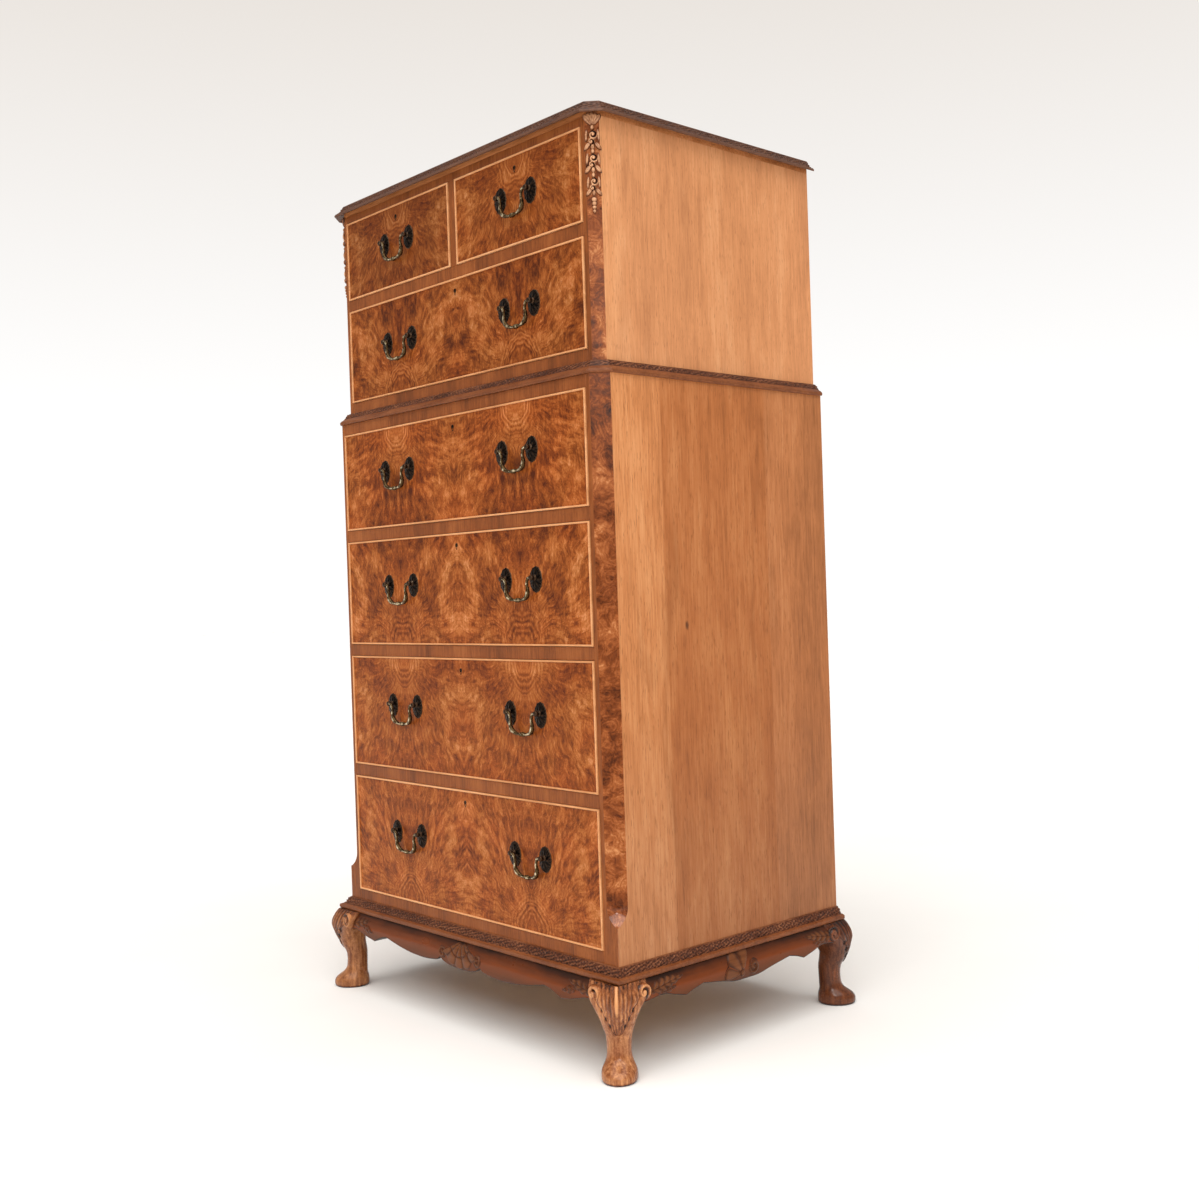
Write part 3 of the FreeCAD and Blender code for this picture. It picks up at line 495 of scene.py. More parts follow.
def grained(name, along, stops, scale=1, contrast=1, gloss=(0.38, 0.5), tints=None, knot=None, painted_shade=None,
            board=None):
    """Straight-grained wood: soft bands, shimmer, fine lines and dark pores that run along one axis.
    tints are leaves laid side by side from front to back, and board is the width of a back board. A last set
    of stops, if given, paints shade that darkens the wood towards the floor."""
    wood = Finish(name, roughness=gloss[0], specular=0.2)
    x, y, z = wood.split(wood.place)

    def grain(length, across):
        return stretch(along, length * scale, across * scale)

    bands = wood.tone(wood.place, grain(0.9, 8), 3, 0.55, twist=0.8)
    shimmer = wood.tone(wood.place, grain(11, 30), twist=0.6)
    lines = wood.tone(wood.place, grain(14, 330), 3, 0.65)
    pores = wood.spread(wood.noise(wood.place, grain(62, 620), 1), 0.62, 0.7)
    smudge = wood.spread(wood.noise(wood.place, grain(2.6, 17), 2, 0.5, 1), 0.58, 0.74)
    tone = wood.weigh((bands, 0.38 * contrast), (shimmer, 0.24 * contrast), (lines, 0.38 * contrast))
    colour = wood.ramp(wood.maths("ADD", tone, 0.5 - 0.5 * contrast), stops)
    for dark, share in ((smudge, 0.35), (pores, 0.6)):
        colour = wood.mix(wood.maths("MULTIPLY", dark, share), colour, stops[0][1])
    if tints:
        low, high, tint_stops = tints
        wander = wood.noise(wood.place, grain(1.1, 0.4), 1)
        leaf_place = wood.spread(wood.weigh((wander, 0.02), (y, 1)), low + 0.01, high + 0.01)
        colour = wood.tinted(colour, leaf_place, tint_stops)
    if board:
        number = wood.maths("DIVIDE", wood.maths("ADD", x, 10), board)
        whole = wood.add("CombineXYZ", 0, {0: wood.maths("FLOOR", number), 1: 0.5, 2: 0.5})
        colour = wood.tinted(colour, wood.tone(whole, (7.31, 1, 1), 0), BOARD_TINTS)
        seam = wood.apart(wood.maths("FRACT", number), 0.5)
        colour = wood.mix(wood.spread(seam, 0.488, 0.497, 0, 0.85), colour, SEAM_COLOUR)
    # Painted shade: a tint by height darkens the colour towards the floor.
    if painted_shade:
        colour = wood.tinted(colour, wood.spread(z, 0.15, 1.08), painted_shade)
    if knot:
        bent = wood.warp(wood.vectors("SUBTRACT", wood.place, knot), 90, 0.006)
        size = wood.vectors("LENGTH", wood.vectors("MULTIPLY", bent, (0, 190, 120)), output="Value")
        colour = wood.mix(wood.spread(size, 0.4, 1, 0.75, 0), colour, KNOT_COLOUR)
    return wood.done(colour, shimmer, gloss, wood.maths("SUBTRACT", lines, pores), 0.12)


def carved(name, recess, body, ridge, grain_along="x", roughness=0.4, depth=0.3, specular=0.22,
           streak=0.2):
    """Polished carving with painted light: the mesh's relief paints shade in the hollows and highlights on
    the ridges, with streaks of grain.
    """
    wood = Finish(name, roughness=roughness, specular=specular)
    lines = wood.tone(wood.place, stretch(grain_along, 14, 190))
    cloud = wood.tone(wood.place, 22)
    fleck = wood.tone(wood.place, 330, 2)
    # Painted light: the relief darkens the hollows as shade and lightens the ridges as highlights.
    value = wood.weigh((wood.relief(), depth), (lines, streak), (cloud, 0.22), (fleck, 0.16))
    value = wood.maths("ADD", value, 0.3 - streak / 2)
    colour = wood.ramp(value, ((0.08, rgb(*recess)), (0.48, rgb(*body)), (0.95, rgb(*ridge))))
    return wood.done(colour, cloud, (roughness - 0.1, roughness + 0.1), fleck, 0.18, 0.0003)


def apron_finish(name):
    """Apron walnut with painted light: painted shade under the moulding, a polished red-brown swell painted
    lighter, painted darker and greyer below; brown carving whose hollows are painted dark and whose ridges
    are painted light.
    """
    wood = Finish(name, roughness=0.26, specular=0.2)
    height = wood.relief()
    cloud = wood.tone(wood.place, (13, 13, 30))
    lines = wood.tone(wood.place, (16, 16, 240))
    level = wood.spread(wood.split(wood.place)[2], 0.1, 0.15)
    # Painted light by height: dark under the moulding, lighter on the swell, darker towards the lower edge.
    ground_with_painted_shade = wood.ramp(wood.weigh((level, 0.8), (cloud, 0.14), (lines, 0.06)), shades(
        (0.1, 78, 40, 19), (0.3, 98, 51, 22), (0.5, 116, 54, 17), (0.66, 92, 43, 16), (0.86, 42, 21, 11)
    ))
    # Painted light on the carving: dark where it is low, lighter where it stands out.
    carving = wood.ramp(wood.weigh((height, 0.4), (cloud, 0.2), (lines, 0.2)), shades(
        (0, 28, 14, 8), (0.35, 72, 38, 19), (0.75, 120, 70, 38)
    ))
    shown = wood.spread(wood.maths("ABSOLUTE", height), 0.04, 0.16)
    return wood.done(wood.mix(shown, ground_with_painted_shade, carving), cloud, (0.26, 0.4), lines, 0.12)


def metal(name, dark, body, bright, roughness, grime=0.3):
    """Aged metal, mottled: bright where the mesh's relief is high and dark where it is low. That is rubbed
    brass and dark hollows on the plates, a painted highlight along a bail's front, and painted shade on a
    keyhole's floor.
    """
    finish = Finish(name, roughness=roughness, specular=0.5, metallic=0.9)
    mottle = finish.tone(finish.place, 180)
    value = finish.maths("ADD", finish.weigh((finish.relief(), 0.5), (mottle, grime)), 0.15)
    colour = finish.ramp(value, shades((0.1, *dark), (0.5, *body), (0.78, *body), (1, *bright)))
    return finish.done(colour, mottle, (roughness - 0.1, roughness + 0.15), mottle, 0.15)


# ---- mouldings


def mitres(route):
    """For each corner of a plan route, the way it moves when the route moves out by one."""
    ways = np.diff(route, axis=0)
    ways /= np.linalg.norm(ways, axis=1)[:, None]
    normals = np.stack([ways[:, 1], -ways[:, 0]], axis=1)
    inner = [(one + two) / (1 + one @ two) for one, two in zip(normals, normals[1:])]
    return np.array([normals[0], *inner, normals[-1]])


def chance(number):
    """A fixed number from 0 to 1 that looks random, for each whole number."""
    share = np.sin(number * 12.9898 + 4.1) * 43758.5453
    return share - np.floor(share)


def carved_band(along, up, width, height):
    """Relief of a carved band: small leaves and buds of uneven size on both sides of a waving stem."""
    field = 0
    for number in range(12):
        turn = TAU * chance(number)
        size = 3.4 + 4.6 * chance(number + 20)
        field = field + np.cos(TAU * (along * math.cos(turn) + up * math.sin(turn)) / size + number * 2.4)
    stem = width * (0.5 + 0.24 * np.sin(TAU * along / 27))
    fade = smooth(up, 0, 1.6) * (1 - smooth(up, width - 1.6, width))
    return height * fade * (0.62 * np.tanh(0.5 * field) + 0.4 * hump(up - stem, 1.2) - 0.05)


def moulding(name, node, route, section, carved_span, depth, materials):
    """A moulding swept round the front and both sides, carved between two shares of its section."""
    low = corner(node)[0][2]
    route = np.array(route, float)
    stations = np.column_stack([route, mitres(route), travelled(route)])
    rows = []
    for start, end in zip(stations, stations[1:]):
        count = max(2, round((end[-1] - start[-1]) / 1.1)) + 1
        rows.append(start + (end - start) * np.linspace(0, 1, count)[:, None])
    rows = np.vstack(rows)
    plan, push, distance = rows[:, :2], rows[:, 2:4], rows[:, 4:]
    outline = resample(section, 0.9)
    run = travelled(outline)
    width = run[-1] * (carved_span[1] - carved_span[0])
    run /= run[-1]
    slope = np.gradient(outline, axis=0)
    slope /= np.linalg.norm(slope, axis=1)[:, None]
    share = (run - carved_span[0]) / (carved_span[1] - carved_span[0])
    inside = (share > 0) & (share < 1)
    rise = np.where(inside, carved_band(distance, share * width, width, depth), 0)
    out = outline[:, 0] + rise * slope[:, 1]
    level = low + outline[:, 1] - rise * slope[:, 0]
    skin = joined(plan[:, :1] + out * push[:, :1], plan[:, 1:] + out * push[:, 1:], level)
    back = joined(plan[:, :1], plan[:, 1:], low + outline[[-1, 0], 1])
    relief = np.hstack([np.where(inside, rise / depth * 1.1 - 0.2, 0.45), np.zeros((len(plan), 2))])
    finish = [0 if carved_span[0] < one < carved_span[1] + 0.1 else 1 for one in run] + [1, 1]
    shape = Shape()
    shape.grid(np.concatenate([skin, back], axis=1), relief, finish)
    show(name, shape, "case", materials, [node], sharp=50)


def case_route(sizes, cant):
    """Plan of a case's outside, from its left back corner round the front to the right back corner."""
    half, face, back = sizes["half"], sizes["face"], sizes["back"]
    left = [(-half, back), (-half, face + cant)] + ([(cant - half, face)] if cant else [])
    return left + [(-x, y) for x, y in reversed(left)]


# ---- aprons and legs


def edge_line(edge):
    """Function that gives the height of an apron's lower edge at a distance from its middle."""
    line = np.vstack([spline(stretch_points, 1) for stretch_points in edge])
    order = np.argsort(line[:, 0], kind="stable")
    return lambda along: np.interp(np.abs(along), line[order, 0], line[order, 1])


def curl(along, up, pitch, radius, wind):
    """Relief of a flat volute about a point: a spiral ridge that fades out over its last 2 mm."""
    reach = np.hypot(along, up)
    ridge = 0.5 + 0.5 * np.cos(TAU * reach / pitch + wind * np.arctan2(up, along))
    return ridge * (1 - smooth(reach, radius - 2, radius))


def shell(along, up, height):
    """Relief of the shell in the middle of the front apron: upright flutes, and round lobes below them."""
    reach = np.hypot(along, (up - 150) * 1.12)
    turn = np.arctan2(along, 150 - up)
    lobe = np.abs(np.cos(5.5 * turn))
    end = 50 + 4 * lobe
    inside = (1 - smooth(reach, end - 3, end)) * (np.abs(turn) < 1.12)
    flutes = inside * (0.3 + 0.8 * lobe ** 0.6) * smooth(reach, 3, 12)
    total = flutes * (1 - 0.7 * hump(reach - 30, 1.6))
    return height * np.maximum(total, curl(np.abs(along) - 50, up - 124, 7.5, 11, -1))


def side_shell(along, up, height):
    """Relief on a side apron: a fan of lobes to one side of a button, and a scrolled leaf."""
    reach = np.hypot(along + 14, up - 113)
    turn = np.arctan2(up - 113, -(along + 14))
    lobe = np.abs(np.cos(3.4 * turn))
    fan = (1 - smooth(reach, 33 + 5 * lobe, 38 + 5 * lobe)) * smooth(reach, 6, 9)
    fan = fan * (0.3 + 0.8 * lobe) * ((turn > -0.15) & (turn < 2.1))
    button = 1.1 * (1 - smooth(reach, 3.5, 5.5))
    return height * np.maximum(np.maximum(fan, button), curl(along - 14, up - 119, 8, 13, 1))


def apron(node, half, edge, relief_at, place, materials):
    """An apron: swelled face with its carving, rounded lower edge, flat inner side."""
    top, thick, round_off = 148, 12, 1.6
    along = np.linspace(-half, half, round(2 * half / 1.1) + 1)[:, None]
    low = edge_line(edge)(along)
    face_z, face_out = np.array(APRON_FACE, float).T
    level = top + (low + round_off - top) * np.linspace(0, 1, 44)
    swell = np.interp(level, face_z, face_out)
    window = np.ones(5) / 5
    padded = np.pad(swell, ((0, 0), (2, 2)), mode="edge")
    swell = np.apply_along_axis(lambda row: np.convolve(row, window, "valid"), 1, padded)
    rise = relief_at(along, level) * smooth(level, low + round_off, low + 4)
    skin = joined(along, level, swell + rise)
    turn = np.linspace(0.25, 1, 4) * math.pi / 2
    out = np.interp(low, face_z, face_out) - round_off * (1 - np.cos(turn))
    under = joined(along, low + round_off * (1 - np.sin(turn)), out)
    inner = np.concatenate([joined(along, low, -thick), joined(along, top, -thick)], axis=1)
    # Painted light: the carving's low edges are painted dark and its high parts light, and the rounded lower
    # edge and inner side are painted dark as shade.
    value = np.clip(rise * 0.75 - 0.55 * smooth(rise, 0.02, 0.2), -1, 1)
    value = np.hstack([value, np.full((len(along), len(turn) + 2), -0.6)])
    shape = Shape()
    shape.grid(place(np.concatenate([skin, under, inner], axis=1)), value)
    show(node + "_carved", shape, "case", materials, [node], sharp=50)


def grown(rise, along, up, leaves):
    """A relief with leaves laid over it, on both sides of its middle."""
    for root, tip, width, lobes, height in leaves:
        rise = np.maximum(rise, leaf(np.abs(along), up, root, tip, width, lobes, height))
    return rise


def front_relief(along, up):
    """Carving of the front apron: the middle shell, and leaves that grow from the volutes."""
    return grown(shell(along, up, 2.4), along, up, FRONT_LEAVES)


def side_relief(along, up):
    """Carving of a side apron, whose front is at negative distances."""
    return grown(side_shell(along, up, 2.2), along, up, SIDE_LEAVES)


def knee_relief(from_arris, level):
    """Carving of a knee at one height: fine flutes that run down into a lobed leaf with a point.
    Gives how far it stands out, and how light it is: painted shade in the flutes, along the leaf's outline
    and in its hollows, and a painted highlight along the arris."""
    heights, widths = np.array(KNEE_LEAF, float).T
    width = max(float(np.interp(level, heights, widths)), 0.01)
    share = from_arris / width
    inside = 1 - smooth(share, 0.9, 1)
    rim = hump(share - 0.9, 0.09)
    count = 2.4 + 2.6 * smooth(level, 84, 126)
    bend = 0.35 * math.sin(level / 7)
    flutes = (0.5 + 0.5 * np.cos(TAU * count * share ** 0.9 + bend * share)) ** 0.7
    spine = hump(from_arris, 2)
    outline = hump((share - 1.03) * width, 1.3)
    rise = inside * (0.3 + 0.9 * flutes) + 0.7 * rim + 0.4 * spine - 0.5 * outline
    # Painted light: shade in the flutes' grooves and along the leaf's outline, highlights on its rim and
    # along the arris.
    light = inside * (0.75 * flutes - 0.85) + 0.3 * rim - 0.9 * outline
    light = light + 1.3 * spine * smooth(level, 100, 122)
    for hollow_across, hollow_level in KNEE_HOLLOWS:
        gap = np.hypot((from_arris - hollow_across) / 2.6, (level - hollow_level) / 3.6)
        rise = rise - 2.4 * hump(gap, 1)
        # Painted shade in the hollow.
        light = light - 2.2 * hump(gap, 1)
    grow = smooth(level, 69, 73)
    return rise * grow, light * grow


def leg(name, x_side, y_side, material):
    """A cabriole leg: pad foot, slim ankle, and a knee that squares up to meet the aprons. A rear leg
    is carved on its outer side only, and is cut back behind."""
    low, high = corner(name)
    sides = np.array([x_side, y_side])
    foot = np.where(sides > 0, high[:2], low[:2]) - sides * LEG_REACH
    rings = spline(LEG_RINGS, 1)
    root = math.sqrt(0.5)
    turn = np.linspace(-0.75 * math.pi, 1.25 * math.pi, 336, endpoint=False)
    cosine, sine = np.cos(turn), np.sin(turn)
    on_x = np.abs(turn) < math.pi / 4
    on_y = np.abs(turn - math.pi / 2) <= math.pi / 4
    carved_here = on_x | (on_y & (y_side < 0))
    rows, reliefs = [], []
    for level in np.concatenate([np.arange(0, 70, 1.2), np.arange(70, 148, 0.95), [148]]):
        columns = rings[:, 1:].T
        out, half_long, half_cross, power = (np.interp(level, rings[:, 0], column) for column in columns)
        scale = (np.abs(cosine) ** power + np.abs(sine) ** power) ** (-1 / power) * root * 2 ** (1 / power)
        ahead = out + half_long * scale * (cosine + sine) * root
        aside = half_cross * scale * (sine - cosine) * root
        u, v = (ahead - aside) * root, (ahead + aside) * root
        arris = (out + half_long) * root
        rise, light = knee_relief(np.abs(arris - np.where(on_x, v, u)), level) if level > 70 else (0, 0)
        rise = np.where(carved_here, rise, 0)
        normal = np.sign([cosine, sine]) * np.abs([cosine, sine]) ** (power - 1)
        normal /= np.linalg.norm(normal, axis=0)
        u, v = u + rise * normal[0], v + rise * normal[1]
        if y_side > 0:
            v = np.where(v > 0, v * (1 - 0.32 * smooth(level, 80, 112)), v)
        rows.append(joined(foot[0] + x_side * u, foot[1] + y_side * v, level))
        # The foot is coloured darker over its lowest few millimetres.
        dark_foot_edge = 1.4 * (1 - smooth(level, 0.6, 5))
        # Painted shade: the top of the knee, under the moulding and aprons, is coloured darker.
        shade_under_moulding = 0.5 * smooth(level, 136, 148)
        reliefs.append(0.35 + np.where(carved_here, light, 0) - dark_foot_edge - shade_under_moulding)
    shape = Shape()
    shape.grid(np.array(rows), np.array(reliefs))
    origin = (foot[0] + x_side * VOLUTE_OUT, foot[1] - y_side * 31, VOLUTE_LEVEL)
    scroll(shape, facing(origin, (0, 1, 0), (x_side, 0, 0)), (0, 0), 14, 5.4, y_side)
    if y_side < 0:
        origin = (foot[0] - x_side * 25.5, foot[1] + y_side * VOLUTE_OUT, VOLUTE_LEVEL)
        scroll(shape, facing(origin, (1, 0, 0), (0, y_side, 0)), (0, 0), 14, 5.4, -x_side)
    show(name + "_carved", shape, "case", [material], [name], sharp=60)


# ---- cases


def case_sizes(case):
    """The main measures of a case, read from its CAD nodes."""
    low, high = corner(case + "_sides")
    face = corner(case + "_front_frame")[0][1]
    sizes = {"half": high[0], "face": face, "cant": low[1] - face}
    return {**sizes, "back": high[1], "low": low[2], "high": high[2]}


def stile(shape, side, sizes, opening, tongue):
    """A front stile. Its cant is scooped out to a point near the foot where there is a lamb's tongue."""
    half, face, full = sizes["half"], sizes["face"], sizes["cant"]
    inner, deep = half - SIDE_BOARD, face + STILE_DEEP
    low, high = sizes["low"], sizes["high"]
    tongue_levels = [*np.linspace(228, 229, 3), *np.linspace(230, 262, 34)] if tongue else []
    levels = np.array([low, low + 0.6, *tongue_levels, high - 0.6, high])
    shares = np.clip((levels - 229) / 32, 0, 1) if tongue else np.ones(4)
    rows = []
    for level, share in zip(levels, shares):
        cant = min(full, full * (1 - (1 - share) ** 2.2) ** 0.8 + 0.35)
        ring = [(opening, face + 0.5), (opening + 0.5, face), (half - cant - 0.4, face)]
        scoop = 4.4 * math.sin(math.pi * share ** 1.5) * (share < 1)
        for step in np.linspace(0, 1, 9):
            push = scoop * math.sin(math.pi * step) * math.sqrt(0.5)
            ring.append((half - cant + cant * step - push, face + cant * step + push))
        ring += [(half, face + full + 0.01), (inner, face + full + 0.01), (inner, deep), (opening, deep)]
        rows.append([(side * x, y, level) for x, y in ring])
    shape.grid(np.array(rows, float), finish=[0, 0, 0] + [1] * 8 + [2] + [0] * 4)


def front_frame(case, sizes, rows, materials):
    """Stiles and rails of a case; the upper one has the short partition too."""
    shape = Shape()
    edges = [corner(f"drawer_{row}_cockbead") for row in rows]
    opening = max(abs(edge[1][0]) for edge in edges) + GAP
    face, deep = sizes["face"], sizes["face"] + RAIL_DEEP
    for side in (-1, 1):
        stile(shape, side, sizes, opening, case == "lower")
    levels = sorted({round(float(z), 2) for low, high in edges for z in (low[2] - GAP, high[2] + GAP)})
    levels = [sizes["low"]] + levels + [sizes["high"]]
    for under, over in zip(levels[::2], levels[1::2]):
        bevel_box(shape, (-opening, face, under), (opening, deep, over), 0.5)
    if case == "upper":
        low, high = corner("drawer_top_left_cockbead")
        wide = -high[0] - GAP
        bevel_box(shape, (-wide, face, low[2] - GAP), (wide, deep, high[2] + GAP), 0.5)
    name, node = case + "_frame_veneered", case + "_front_frame"
    show(name, shape, "case", materials, [node], sharp=30)


def pendants(materials):
    """The two drop ornaments: a fluted palmette, three leafy links with beads, and a string of beads."""
    shape = Shape()
    top = corner("corner_pendants")[1][2] + 8
    half_cant = UPPER["cant"] / 2
    root = math.sqrt(0.5)
    down = -math.pi / 2
    for side in (-1, 1):
        origin = (side * (UPPER["half"] - half_cant), UPPER["face"] + half_cant, 0)
        place = facing(origin, (root, side * root, 0), (side * root, -root, 0))
        for order in (-2, 2, -1, 1, 0):
            angle = order * 0.32
            middle = (11.5 * math.sin(angle), top - 22 + 11 * math.cos(angle))
            petal(shape, place, middle, 11.5, 4.3, 5.8 - 0.5 * abs(order), down - angle, 1.4)
        for order, level in enumerate((top - 25, top - 61.5, top - 98)):
            size = 1.14 - 0.05 * order
            petal(shape, place, (0, level), 2.9 * size, 4.2 * size, 5.6)
            scroll(shape, place, (0.9 * size, level - 10 * size), 6.3 * size, 5.2, 1, 1.1)
            scroll(shape, place, (-1.5 * size, level - 19 * size), 5 * size, 5, -1, 1.1)
            for hand in (-1, 1):
                middle = (hand * 8.2 * size, level - 10.5 * size)
                petal(shape, place, middle, 9.5 * size, 2.1 * size, 3.4, hand * 0.08 - down, 0.6)
                middle = (hand * 7.2 * size, level - 25 * size)
                petal(shape, place, middle, 7.2 * size, 3.3 * size, 4.8, hand * 0.66 + down, 1)
            petal(shape, place, (0, level - 26.5 * size), 5 * size, 2.8 * size, 4.6, down, 1)
        for order in range(4):
            size = 4.8 - 0.6 * order
            petal(shape, place, (0, top - 136 - 5.8 * order), size, size, 6 - 0.6 * order)
    show("pendant_drops", shape, "case", materials, ["corner_pendants"], sharp=60)


# ---- handles and keyholes


def lathe(shape, centre, profile, relief):
    """A turned part about a line along -Y: the profile gives how far out from the drawer, and radius."""
    line = spline(profile, 0.5)
    turn = circle(24)
    out, radius = line[:, :1], line[:, 1:]
    x, y, z = centre
    shape.grid(joined(x + radius * np.cos(turn), y - out, z + radius * np.sin(turn)), relief)


def plate(shape, x, z, face):
    """A handle plate: oval, lobed at its edge, beaded inside the edge, and raised in the middle."""
    ring = np.linspace(0.02, 1, 26)[:, None]
    turn = circle(96)
    lobes = 1 + 0.02 * np.cos(12 * turn) * smooth(ring, 0.6, 1)
    beads = np.cos(24 * turn) * hump(ring - 0.84, 0.07)
    leaves = np.cos(8 * turn) * hump(ring - 0.5, 0.16)
    rise = 4 * (1 - ring ** 2) ** 0.8 + 0.45 * beads + 0.5 * leaves + 0.6 * hump(ring - 0.93, 0.05)
    rise = rise * (1 - smooth(ring, 0.97, 1)) + 0.05
    reach = ring * lobes
    points = joined(x + 15.6 * reach * np.cos(turn), face - rise, z + 21.4 * reach * np.sin(turn))
    shape.grid(points, np.clip(0.8 * beads + 0.6 * leaves - 0.25 + 0.5 * smooth(ring, 0.9, 0.95), -1, 1))


def post(shape, x, z, face, pin):
    """A handle post: collar, waist, and the ball that holds the bail, with a small finial."""
    out = face - pin[1]
    profile = ((3, 5.4), (4.4, 5), (5.3, 3.7), (out - 4.2, 3.3), (out - 3.2, 4), (out - 1.6, 4.7),
               (out, 4.8), (out + 1.8, 4.3), (out + 3, 2.8), (out + 3.5, 0.3))
    lathe(shape, (x, face, z), profile, 0.75)


def keyhole(shape, x, z, face):
    """The lining of a keyhole: a thin raised rim round a hole and the slot below it, whose shallow floor is
    painted dark as the shade inside it.
    """
    turn = circle(40)
    slot = np.sin(turn) < -0.55
    across = 3.4 * np.cos(turn) * np.where(slot, 0.72, 1)
    up = 3.4 * np.sin(turn) * np.where(slot, 2.35, 1)
    # The last two steps are the hole's shallow floor, painted dark as shade.
    steps = ((1, -0.4, 0.2), (1, 0.35, 0.9), (0.92, 0.5, 1), (0.78, 0.35, 0.5), (0.76, -1.6, -1),
             (0.02, -1.6, -1))
    size, out, relief = np.array(steps).T[:, :, None]
    shape.grid(joined(x + across * size, face - out, z + up * size), relief)


def bail(name, pin):
    """A swan-neck bail: turned-in ends, waisted arms, thick leafy corners and a bar with a knop, with a
    painted highlight along its front.
    """
    half = [(36.5, 0, 2.2), (33.6, -0.2, 2.6), (30.4, -1.8, 2.8), (27.9, -6.6, 2.4), (27.2, -12.6, 2.4),
            (28.1, -18.6, 3), (27.4, -24.8, 3.7), (24.2, -30.2, 3.9), (18.6, -33.4, 3.3), (12.2, -35, 2.5),
            (7.4, -35.5, 2.3), (5.2, -35.6, 2.7), (4.2, -35.6, 3.6), (3.2, -35.6, 2.6), (1.9, -35.6, 3.5)]
    other = [(-x, z, radius) for x, z, radius in reversed(half)]
    across, up, thick = spline(half + [(0, -35.6, 4)] + other, 0.9).T
    lean = 2.8 * (up / 36) ** 2
    centre = joined(pin[0] + across, pin[1] + lean, pin[2] + up)
    way = np.gradient(centre, axis=0)
    way /= np.linalg.norm(way, axis=1)[:, None]
    side = np.array([0, 1, 0]) - way * way[:, 1:2]
    side /= np.linalg.norm(side, axis=1)[:, None]
    other_side = np.cross(way, side)
    turn = circle(20)
    share = np.linspace(0, 1, len(centre))[:, None]
    radius = thick[:, None] * (1 + 0.08 * np.cos(5 * turn) * hump(thick[:, None] - 4.2, 0.7))
    points = (centre[:, None, :] + (radius * np.cos(turn))[..., None] * side[:, None, :]
              + (radius * np.sin(turn))[..., None] * other_side[:, None, :])
    # Painted highlight: a bright stripe along the front of the bar.
    relief = 0.1 + 0.9 * np.clip(-np.cos(turn), 0, 1) ** 3 + 0.15 * np.sin(TAU * 9 * share)
    shape = Shape()
    shape.grid(points, relief)
    show(name + "_cast", shape, name, [BRASS], [name], sharp=60)


def fittings(drawer, pins):
    """Handle plates, posts and nuts of one drawer, its keyhole lining and the lock behind it."""
    shape = Shape()
    face = (UPPER if drawer in UPPER_DRAWERS else LOWER)["face"]
    for pin in pins:
        for x in (pin[0] - BOLT_HALF, pin[0] + BOLT_HALF):
            plate(shape, x, pin[2] - PIN_UP, face)
            post(shape, x, pin[2], face, pin)
            lathe(shape, (x, face + NUT_IN, pin[2]), NUT, 0.3)
    low, high = corner(drawer + "_cockbead")
    middle = (low[0] + high[0]) / 2
    keyhole(shape, middle, high[2] - 21, face)
    bevel_box(shape, (middle - 30, face + 10, high[2] - 45), (middle + 30, face + 20.4, high[2] - 3))
    show(drawer + "_metalwork", shape, drawer, [BRONZE], [drawer + "_fittings"], sharp=50)


# ---- camera, light and floor


def camera():
    """The camera at the viewing angle of the reference, a little rolled."""
    data = bpy.data.cameras.new("camera")
    data.lens, data.sensor_width, data.shift_y = 40.775, 36, 0.0039
    place = Matrix.Translation((1.907, -1.6488, 0.7416))
    for axis, degrees in (("Z", 47.979), ("X", 90 - 0.503), ("Z", -1.898)):
        place = place @ Matrix.Rotation(math.radians(degrees), 4, axis)
    made = bpy.data.objects.new("camera", data)
    made.matrix_world = place
    bpy.context.scene.collection.objects.link(made)
    bpy.context.scene.camera = made


def light(name, kind, energy, colour):
    """A light, which still has to be given its size, place and direction."""
    data = bpy.data.lights.new(name, kind)
    data.energy, data.color = energy, colour
    made = bpy.data.objects.new(name, data)
    bpy.context.scene.collection.objects.link(made)
    return made, data


def studio():
    """Plain pale floor, a backdrop that the camera sees painted darker towards the top as painted shade, an
    even soft light all round, a wide sun above and a box in front.
    """
    world = bpy.data.worlds.new("studio")
    bpy.context.scene.world = world
    world.use_nodes = True
    sky = Nodes(world.node_tree)
    height = sky.split(sky.add("TexCoord", "Generated", {}))[2]
    # Painted shade on the backdrop: only the camera sees it, darker towards the top.
    backdrop = sky.ramp(height, ((0.1, (1, 1, 1)), (0.44, (0.76, 0.71, 0.66))))
    seen = sky.add("Background", 0, {0: backdrop, 1: 1.05})
    around = sky.add("Background", 0, {0: (1, 0.97, 0.93, 1), 1: 0.42})
    mixed = sky.add("MixShader", 0, {0: sky.add("LightPath", "Is Camera Ray", {}), 1: around, 2: seen})
    sky.tree.links.new(mixed, sky.tree.nodes["World Output"].inputs[0])
    made, sun = light("overhead", "SUN", 2.9, (1, 0.98, 0.95))
    sun.angle = math.radians(75)
    made.rotation_euler = (math.radians(18), math.radians(16), 0)
    made, box = light("near_box", "AREA", 20, (1, 0.97, 0.93))
    box.shape, box.size, box.size_y = "RECTANGLE", 0.75, 0.75
    made.location = (2.7, -2.3, 1.75)
    made.rotation_euler = (Vector((0, 0, 0.85)) - made.location).to_track_quat("-Z", "Y").to_euler()
    bpy.ops.mesh.primitive_grid_add(x_subdivisions=12, y_subdivisions=12, size=60, location=(0, 0, 0))
    floor = bpy.context.object
    floor.name = "floor"
    finish = Finish("floor_paint", roughness=0.8, specular=0.1)
    paint = ((0, (0.9, 0.885, 0.865)), (1, (0.94, 0.93, 0.915)))
    finish.link("Base Color", finish.ramp(finish.tone(finish.place, 1.3, 3, 0.5), paint))
    floor.data.materials.append(finish.material)


# ---- the chest

LOWER = case_sizes("lower")
UPPER = case_sizes("upper")
MIDDLE_Y = (LOWER["face"] + LOWER["back"]) / 2

